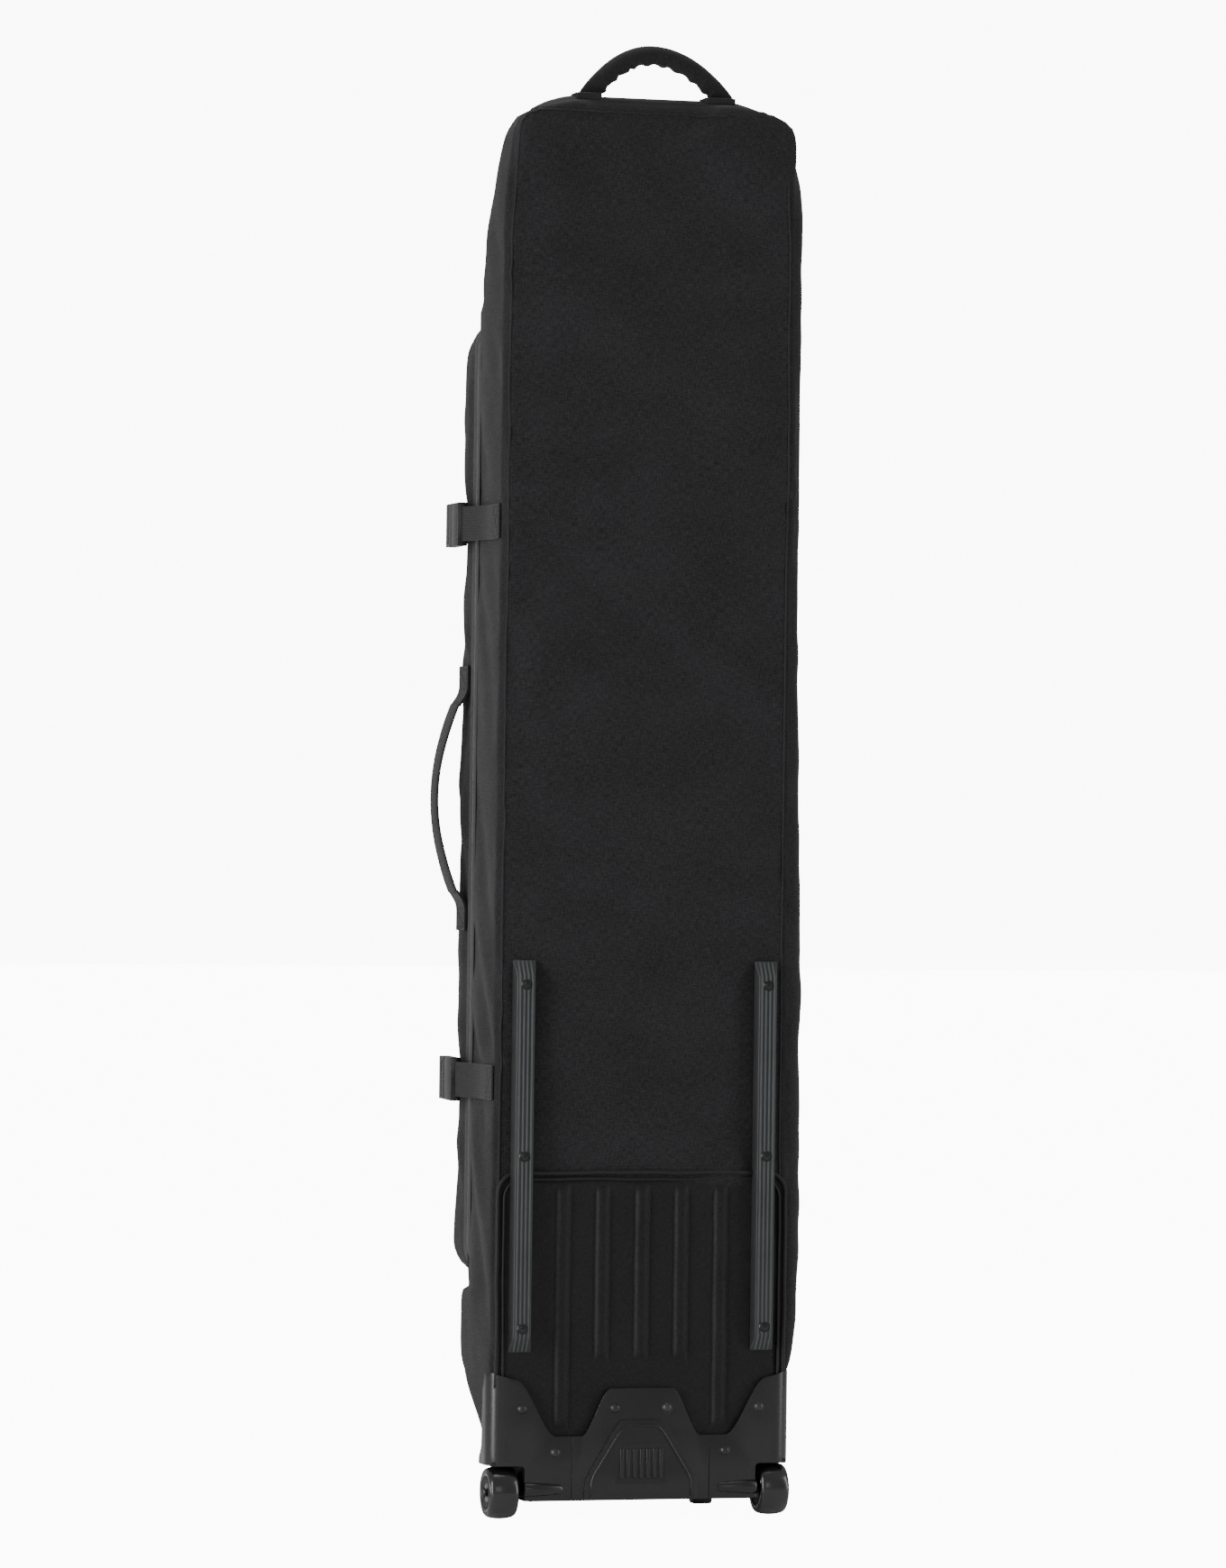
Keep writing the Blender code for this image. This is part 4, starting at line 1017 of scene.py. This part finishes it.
border = rounded([(midX + x, face - 0.0002, z) for x, z in border], 0.012)
borderLine = tubePiece("bumperBorder", border, bumper["border"], 8)
settle(borderLine, "tub", baseMould)
ribField = boxPiece("bumperPanel", (midX - 0.031, face - 0.0004, bumper["ribLow"] - 0.006),
                    (midX + 0.031, face + 0.001, bumper["ribLow"] + bumper["ribTall"] + 0.006),
                    0.0003)
settle(ribField, "tub", hubNylon)
for rib in range(bumper["ribs"]):
    x = midX + (rib - (bumper["ribs"] - 1) / 2) * bumper["ribPitch"]
    ribBar = boxPiece("bumperRib" + str(rib + 1),
                      (x - bumper["ribWide"] / 2, face - 0.0016, bumper["ribLow"]),
                      (x + bumper["ribWide"] / 2, face, bumper["ribLow"] + bumper["ribTall"]),
                      0.0009, 3)
    shade(ribBar, 40.0)
    settle(ribBar, "tub", baseMould)

# rivets of the base: shallow domes in a small seat
domeProfile = [(0.0, 0.0036), (0.0020, 0.0034), (0.0038, 0.0027), (0.0050, 0.0015),
               (0.0056, 0.0003), (0.0064, 0.0002), (0.0066, -0.0002), (0.0, -0.0002)]
for number in range(1, 7):
    low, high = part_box("rivet_" + str(number))
    centre = ((low.x + high.x) / 2, high.y, (low.z + high.z) / 2)
    rivet = lathePiece("rivetHead" + str(number), domeProfile, centre, (0.0, -1.0, 0.0), 32)
    settle(rivet, "tub", blackSteel, ["rivet_" + str(number)])

# skid rails: a mitred bar with ridges along its crown
rail = {"crown": 0.0205, "ramp": 0.018, "ridges": 4, "ridgePitch": 0.0048,
        "ridgeHigh": 0.0011, "edge": 0.0011}
for side in ("left", "right"):
    low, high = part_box("skid_rail_" + side)
    centre = ((low.x + high.x) / 2, low.y, (low.z + high.z) / 2)
    tall = high.z - low.z
    bar = boxPiece(side + "Rail", (low.x, low.y, low.z), (high.x, high.y, high.z))
    crownShare = (rail["crown"] / (high.x - low.x), 1.0, (tall - 2 * rail["ramp"]) / tall)
    onFaces(bar, lambda place, normal: abs(place.y - low.y) < 0.0002, bpy.ops.transform.resize,
            value=crownShare, center_override=centre)
    bar.data.materials.append(railNylon)
    bar.data.materials.append(railFlankShade)
    # the sideways facing flanks take the darker copy: painted shade
    for polygon in bar.data.polygons:
        polygon.material_index = 1 if abs(polygon.normal.x) > 0.5 else 0
    applyModifier(bar, "BEVEL", width=rail["edge"], segments=3, limit_method="ANGLE")
    parts = [bar]
    for ridge in range(rail["ridges"]):
        x = centre[0] + (ridge - (rail["ridges"] - 1) / 2) * rail["ridgePitch"]
        fall = (high.y - low.y) * (1 - 0.002 / rail["ramp"])
        path = [(x, low.y + fall, low.z + 0.002), (x, low.y, low.z + rail["ramp"]),
                (x, low.y, high.z - rail["ramp"]), (x, low.y + fall, high.z - 0.002)]
        parts.append(tubePiece("ridge", path, rail["ridgeHigh"], 8))
        # the ridges take the paler copy: a painted highlight along them
        parts[-1].data.materials.append(railRidgeHighlight)
    bar = joinAll(parts, side + "Rail")
    shade(bar, 35.0)
    settle(bar, "tub", None, ["skid_rail_" + side])

# each screw: a black head on the crown, over a dark disc that is painted shade standing for the
# recess round the head
recessShadeProfile = [(0.0, 0.0014), (0.0058, 0.0014), (0.0062, 0.0010), (0.0062, -0.001), (0.0, -0.001)]
headProfile = [(0.0, 0.0024), (0.0026, 0.0023), (0.0040, 0.0019), (0.0044, 0.0012), (0.0, 0.0012)]
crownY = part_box("skid_rail_left")[0].y
for number in range(1, 7):
    low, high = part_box("rail_screw_" + str(number))
    centre = ((low.x + high.x) / 2, crownY, (low.z + high.z) / 2)
    # the dark disc under the head: painted shade of the recess
    seat = lathePiece("screwRecessShade" + str(number), recessShadeProfile, centre, (0.0, -1.0, 0.0), 32)
    settle(seat, "tub", acetal)
    head = lathePiece("screwHead" + str(number), headProfile, centre, (0.0, -1.0, 0.0), 32)
    settle(head, "tub", acetal, ["rail_screw_" + str(number)])
print("base and rails ready")

# wheels
wheel = {"halfWidth": 0.0168, "bore": 0.0184}
for side in ("left", "right"):
    low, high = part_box("tyre_" + side)
    centre = ((low.x + high.x) / 2, (low.y + high.y) / 2, (low.z + high.z) / 2)
    w = wheel["halfWidth"]
    flank = [(0.0188, w - 0.0012), (0.0205, w - 0.0003), (0.0225, w - 0.0002), (0.0232, w - 0.0010),
             (0.0240, w - 0.0010), (0.0247, w - 0.0001), (0.0262, w - 0.0005), (0.0276, w - 0.0020),
             (0.0286, w - 0.0045), (0.0293, w - 0.0078), (0.0298, w - 0.0118), (0.0300, w - 0.0160)]
    profile = [(wheel["bore"], w - 0.0024)] + flank
    profile += [(r, -a) for r, a in reversed(flank)] + [(wheel["bore"], -w + 0.0024)]
    tyre = lathePiece(side + "Tyre", profile, centre, (1.0, 0.0, 0.0), 64)
    settle(tyre, "wheel_" + side, tyreUrethane, ["tyre_" + side])
    core = bevelledCopy("wheel_core_" + side, side + "WheelCore", 0.0006, 2)
    settle(core, "wheel_" + side, hubNylon, ["wheel_core_" + side])
    for place in ("outer", "inner"):
        node = "bearing_" + side + "_" + place
        race = bevelledCopy(node, side + place.capitalize() + "Bearing", 0.0004, 2)
        settle(race, "wheel_" + side, bearingSteel, [node])
    pin = bevelledCopy("axle_" + side, side + "Axle", 0.0006, 2)
    settle(pin, "tub", blackSteel, ["axle_" + side])
print("wheels ready")

# straps and buckles
strap = {"width": 0.040, "thick": 0.0018, "lift": 0.0012}
for level, height in strapZ.items():
    stubLow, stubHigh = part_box("strap_stub_" + level)
    wallX = midX - half - 0.0016
    stubPath = rounded([(wallX, backY + 0.006, height), (wallX, backY + 0.070, height),
                        (stubLow.x + 0.0009, stubHigh.y - 0.0008, height)], 0.020)
    stub = ribbonPiece(level + "Stub", stubPath, strap["width"], strap["thick"])
    settle(stub, "tub", webbing, ["strap_stub_" + level])
    # box stitching where the stub is sewn into the seam
    sewn = [[(wallX - 0.0010, backY + y, height + z) for y, z in
             ((0.010, -0.017), (0.010, 0.017), (0.030, 0.017), (0.030, -0.017), (0.010, -0.017),
              (0.030, 0.017))],
            [(wallX - 0.0010, backY + y, height + z) for y, z in ((0.010, 0.017), (0.030, -0.017))]]
    settle(stitchPiece(level + "StubStitches", sewn), "tub", thread)
    frontLow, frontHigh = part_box("front_strap_" + level)
    frontPath = rounded([(midX - half - 0.004, frontLow.y + 0.016, height),
                         (midX - half - 0.002, frontHigh.y + 0.004, height),
                         (midX + half + 0.002, frontHigh.y + 0.004, height),
                         (midX + half + 0.006, frontLow.y + 0.015, height)], 0.010)
    across = ribbonPiece(level + "FrontStrap", frontPath, strap["width"], strap["thick"],
                         columns=220, shell=lidShell, lift=strap["lift"])
    settle(across, "lid", webbing, ["front_strap_" + level])
    plug = bevelledCopy("buckle_plug_" + level, level + "Plug", 0.0012, 3)
    settle(plug, "lid", acetal, ["buckle_plug_" + level])
    socket = bevelledCopy("buckle_socket_" + level, level + "Socket", 0.0012, 3)
    settle(socket, "tub", acetal, ["buckle_socket_" + level])
    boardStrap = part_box("board_strap_" + level)
    middle = (boardStrap[0] + boardStrap[1]) / 2
    inner = ribbonPiece(level + "BoardStrap", [(boardStrap[0].x, middle.y, middle.z),
                                               (boardStrap[1].x, middle.y, middle.z)],
                        0.038, 0.0016)
    settle(inner, "tub", webbing, ["board_strap_" + level])
print("straps ready")

# haul handle: cloth gathered over a padded cord
haul = {"leftSpan": 0.075, "rightSpan": 0.088, "rise": 0.0515, "peak": 1.85, "thick": 0.0112,
        "foot": 0.0122, "pleats": 13, "pleatDeep": 0.0012, "lowZ": 1.6240}
gripLow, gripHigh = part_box("top_handle_grip")
haulY = (gripLow.y + gripHigh.y) / 2


def haulShape(u, v):
    t = 0.05 + u * (math.pi - 0.1)
    turn = v * 2 * math.pi
    power = haul["peak"]
    span = np.where(np.cos(t) > 0, haul["leftSpan"], haul["rightSpan"])
    x, z = -span * np.cos(t), haul["lowZ"] + haul["rise"] * np.sin(t) ** power
    acrossX = -haul["rise"] * power * np.sin(t) ** (power - 1) * np.cos(t)
    acrossZ = span * np.sin(t)
    reach = np.sqrt(acrossX ** 2 + acrossZ ** 2)
    acrossX, acrossZ = acrossX / reach, acrossZ / reach
    rise = smooth((z - haul["lowZ"]) / 0.026)
    wide = haul["foot"] + (haul["thick"] - haul["foot"]) * rise
    deep = 0.0040 + (0.0105 - 0.0040) * rise
    inner = smooth((0.35 - np.cos(turn)) / 1.2)
    drift = softNoise(u, v * 0.2, 0.05, 91)
    pleat = haul["pleatDeep"] * inner * np.sin(u * haul["pleats"] * 2 * math.pi + 1.6 * drift)
    pleat = pleat * smooth((z - haul["lowZ"]) / 0.012)
    seam = 0.0010 * bump(np.mod(turn + math.pi, 2 * math.pi) - math.pi, 0.10)
    radial = np.cos(turn) * (wide + pleat - seam)
    return (midX + x + acrossX * radial, haulY + np.sin(turn) * (deep + pleat),
            z + acrossZ * radial)


haulHandle = gridPiece("haulHandle", 260, 40, haulShape, True, (0.2, 0.06))
shade(haulHandle, 60.0)
settle(haulHandle, "top_handle", handleCloth, ["top_handle_grip"])
for side in ("left", "right"):
    low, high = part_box("top_handle_patch_" + side)
    wider = 0.006 if side == "right" else 0.0
    patch = boxPiece(side + "HaulPatch", (low.x + 0.003, low.y, low.z - 0.005),
                     (high.x - 0.003 + wider, high.y, high.z + 0.0009), 0.0009, 3)
    shade(patch, 40.0)
    settle(patch, "tub", cordCloth, ["top_handle_patch_" + side])
    top = high.z + 0.0009
    square = [(low.x + 0.006, low.y + 0.003), (high.x - 0.006, low.y + 0.003),
              (high.x - 0.006, high.y - 0.003), (low.x + 0.006, high.y - 0.003),
              (low.x + 0.006, low.y + 0.003)]
    settle(stitchPiece(side + "HaulStitches", [[(x, y, top) for x, y in square]]),
           "tub", thread)

# carry handle on the lid's left wall
carry = {"width": 0.036, "thick": 0.0052, "bow": 0.0240}
carryLow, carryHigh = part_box("side_handle_strap")
carryY = (carryLow.y + carryHigh.y) / 2
rootX = carryHigh.x - 0.0028


def carryShape(u, v):
    turn = v * 2 * math.pi
    bow = carry["bow"] * np.sin(u * math.pi) ** 0.9
    z = carryLow.z + 0.001 + (carryHigh.z - carryLow.z - 0.002) * u
    rounder = np.sign(np.cos(turn)) * np.abs(np.cos(turn)) ** 0.5
    flat = np.sign(np.sin(turn)) * np.abs(np.sin(turn)) ** 0.8
    narrow = 1 - 0.25 * np.sin(u * math.pi) ** 2
    return (rootX - bow + flat * carry["thick"] / 2,
            carryY + rounder * carry["width"] / 2 * narrow, z)


carryHandle = gridPiece("carryHandle", 100, 28, carryShape, True, (0.23, 0.09))
shade(carryHandle, 50.0)
settle(carryHandle, "side_handle", webbing, ["side_handle_strap"])
for level, away in (("upper", 1), ("lower", -1)):
    low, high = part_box("side_handle_patch_" + level)
    endZ = carryHigh.z if away > 0 else carryLow.z
    farZ = high.z if away > 0 else low.z
    tabPath = rounded([(low.x - 0.0004, carryY, farZ),
                       (low.x - 0.0004, carryY, endZ + 0.012 * away),
                       (rootX - 0.0004, carryY, endZ - 0.0035 * away)], 0.012)
    tab = ribbonPiece(level + "CarryTab", tabPath, 0.038, 0.0026, across=(0.0, 1.0, 0.0))
    settle(tab, "lid", webbing, ["side_handle_patch_" + level])
    frameZ = sorted((farZ - 0.004 * away, farZ - 0.026 * away))
    square = [(carryY - 0.015, frameZ[0]), (carryY + 0.015, frameZ[0]), (carryY + 0.015, frameZ[1]),
              (carryY - 0.015, frameZ[1]), (carryY - 0.015, frameZ[0]), (carryY + 0.015, frameZ[1])]
    settle(stitchPiece(level + "CarryStitches", [[(low.x - 0.0019, y, z) for y, z in square]]),
           "lid", thread)
print("handles ready")

# zip: tape and coil on both edges, from one end of the hinge round to the other
zipper = {"corner": 0.044, "pitch": 0.0036, "coil": 0.0016, "tape": 0.011}


zipOutline = 4 * (lidHalfZ + half - 2 * zipper["corner"]) + 2 * math.pi * zipper["corner"]
hingeShare = (lidHalfZ - zipper["corner"] + zipper["corner"] * math.pi / 4) / zipOutline
zipLength = zipOutline * (1 - 2 * hingeShare)


def zipRun(share):
    # the outline's share that leaves out the hinge side, and the way out from it at each point
    x, z = roundedLoop(hingeShare + share * (1 - 2 * hingeShare), half, lidHalfZ, zipper["corner"])
    outX = np.clip(np.abs(x) - (half - zipper["corner"]), 0, None)
    outZ = np.clip(np.abs(z) - (lidHalfZ - zipper["corner"]), 0, None)
    size = np.sqrt(outX ** 2 + outZ ** 2) + 1e-9
    return x, z, outX / size * np.sign(x), outZ / size * np.sign(z)


def zipCoil(name, sign, body, node):
    teeth = int(zipLength / zipper["pitch"])

    def shape(u, v):
        x, z, outX, outZ = zipRun(u)
        turn = v * math.pi
        beat = 0.5 + 0.5 * np.cos(u * teeth * 2 * math.pi)
        out = 0.0006 + zipper["coil"] * (0.55 + 0.45 * beat) * np.sin(turn)
        y = zipY - sign * 0.0003 + sign * (0.0028 * (1 - np.cos(turn)) / 2 + 0.0003)
        return midX + x + outX * out, y, lidMidZ + z + outZ * out

    coil = gridPiece(name, teeth * 3, 6, shape, False, (zipLength, 0.005))
    shade(coil, 60.0)
    settle(coil, body, zipNylon, [node])


def zipTape(name, sign, body):
    def shape(u, v):
        x, z, outX, outZ = zipRun(u)
        out = 0.0008 + 0.0006 * np.sin(v * math.pi)
        return (midX + x + outX * out, zipY + sign * (0.0030 + zipper["tape"] * v),
                lidMidZ + z + outZ * out)

    tape = gridPiece(name, 420, 5, shape, False, (2.7, zipper["tape"]))
    applyModifier(tape, "SOLIDIFY", thickness=0.0010, offset=0.0)
    shade(tape, 60.0)
    settle(tape, body, bindingCloth)


zipCoil("tubCoil", -1, "tub", "zip_chain_tub")
zipCoil("lidCoil", 1, "lid", "zip_chain_lid")
zipTape("tubTape", -1, "tub")
zipTape("lidTape", 1, "lid")
for side in ("left", "right"):
    car = bevelledCopy("zip_slider_" + side, side + "Slider", 0.0007, 2)
    settle(car, "slider_" + side, blackSteel, ["zip_slider_" + side])
    pull = bevelledCopy("zip_pull_" + side, side + "Pull", 0.0006, 2)
    settle(pull, "pull_" + side, zipNylon, ["zip_pull_" + side])


def lidOutline(inset, depth):
    shares = np.linspace(0, 1, 480, endpoint=False)
    x, z = roundedLoop(shares, half - inset, lidHalfZ - inset, lid["corner"] * 0.8)
    return [(midX + a, zipY + depth, lidMidZ + b) for a, b in zip(x, z)]


facePoints = [(x, y + float(lidDepth(np.array(z))), z) for x, y, z in lidOutline(0.020, 0.02)]
faceCord = cordPiece("lidFaceCord", lidShell, facePoints, 0.0016, 0.0003, True)
settle(faceCord, "lid", cordCloth)
print("zip ready")

# camera, light, floor
view = {"azimuth": -16.3, "distance": 8.0, "lens": 158.7931, "roll": 0.73, "targetZ": 0.80,
        "shift": (-0.0078736, 0.0219540), "sensor": 36.0, "glow": 11.0, "backdrop": 12.5,
        "worldLight": 0.36}
cameraData = bpy.data.cameras.new("camera")
camera = bpy.data.objects.new("camera", cameraData)
bpy.context.scene.collection.objects.link(camera)
azimuth = math.radians(view["azimuth"])
away = Vector((math.sin(azimuth), -math.cos(azimuth), 0.0))
target = Vector((midX, 0.0, view["targetZ"]))
camera.location = target + away * view["distance"]
facing = (-away).to_track_quat("-Z", "Y").to_matrix().to_4x4()
camera.matrix_world = (Matrix.Translation(camera.location) @ facing
                       @ Matrix.Rotation(math.radians(view["roll"]), 4, "Z"))
cameraData.sensor_width = view["sensor"]
cameraData.sensor_fit = "AUTO"
cameraData.lens = view["lens"]
cameraData.shift_x, cameraData.shift_y = view["shift"]
cameraData.clip_end = 60.0
bpy.context.scene.camera = camera

floor = boxPiece("floor", (-28.0, -28.0, -0.05), (28.0, 28.0, -0.0005))
floorMaterial, floorTree, floorShader = newMaterial("paintedFloor", 0.6)
floorShader.inputs["Base Color"].default_value = toLinear("#f2f2f2")
floorShader.inputs["Emission Color"].default_value = toLinear("#ffffff")
floorSeen = addNode(floorTree, "ShaderNodeLightPath")
floorGlow = addNode(floorTree, "ShaderNodeMath", {0: floorSeen.outputs["Is Camera Ray"]},
                    operation="MULTIPLY")
floorGlow.inputs[1].default_value = view["glow"]
floorTree.links.new(floorGlow.outputs[0], floorShader.inputs["Emission Strength"])
floor.data.materials.append(floorMaterial)

world = bpy.data.worlds.new("studio")
bpy.context.scene.world = world
world.use_nodes = True
tree = world.node_tree
tree.nodes["Background"].inputs["Color"].default_value = toLinear("#ffffff")
tree.nodes["Background"].inputs["Strength"].default_value = view["worldLight"]
backdrop = addNode(tree, "ShaderNodeBackground", Strength=view["backdrop"])
rays = addNode(tree, "ShaderNodeLightPath")
seen = addNode(tree, "ShaderNodeMixShader", {
    0: rays.outputs["Is Camera Ray"], 1: tree.nodes["Background"].outputs[0],
    2: backdrop.outputs[0]})
tree.links.new(seen.outputs[0], tree.nodes["World Output"].inputs["Surface"])


def addLight(name, place, aim, size, power):
    light = bpy.data.lights.new(name, "AREA")
    light.shape = "RECTANGLE"
    light.size, light.size_y = size
    light.energy = power
    lamp = bpy.data.objects.new(name, light)
    lamp.location = place
    lamp.rotation_euler = (Vector(aim) - Vector(place)).to_track_quat("-Z", "Y").to_euler()
    bpy.context.scene.collection.objects.link(lamp)


addLight("keyLeft", (-2.9, -1.0, 1.1), (0.0, 0.0, 0.8), (0.8, 2.6), 80.0)
addLight("fillRight", (2.6, -1.3, 1.2), (0.0, 0.0, 0.8), (0.8, 2.4), 26.0)
addLight("frontSoft", (-0.6, -4.5, 1.6), (0.0, 0.0, 0.9), (1.6, 1.6), 8.0)
addLight("overhead", (0.0, 0.2, 3.6), (0.0, 0.0, 0.8), (1.6, 1.6), 26.0)
print("camera and lights ready")

# finishes of the CAD nodes that show as they are
finishOf = {
    "body_fabric": bodyCloth, "handle_fabric": handleCloth, "cover_fabric": coverCloth,
    "base_plastic": baseMould, "rail_plastic": railNylon, "wheel_rubber": tyreUrethane,
    "wheel_plastic": hubNylon, "bearing_steel": bearingSteel, "black_metal": blackSteel,
    "webbing": webbing, "buckle_plastic": acetal, "zip_plastic": zipNylon,
    "board_plastic": sheetPlastic,
}
for nodeName, node in frame["nodes"].items():
    node.data.materials.clear()
    node.data.materials.append(finishOf[slots[nodeName]])
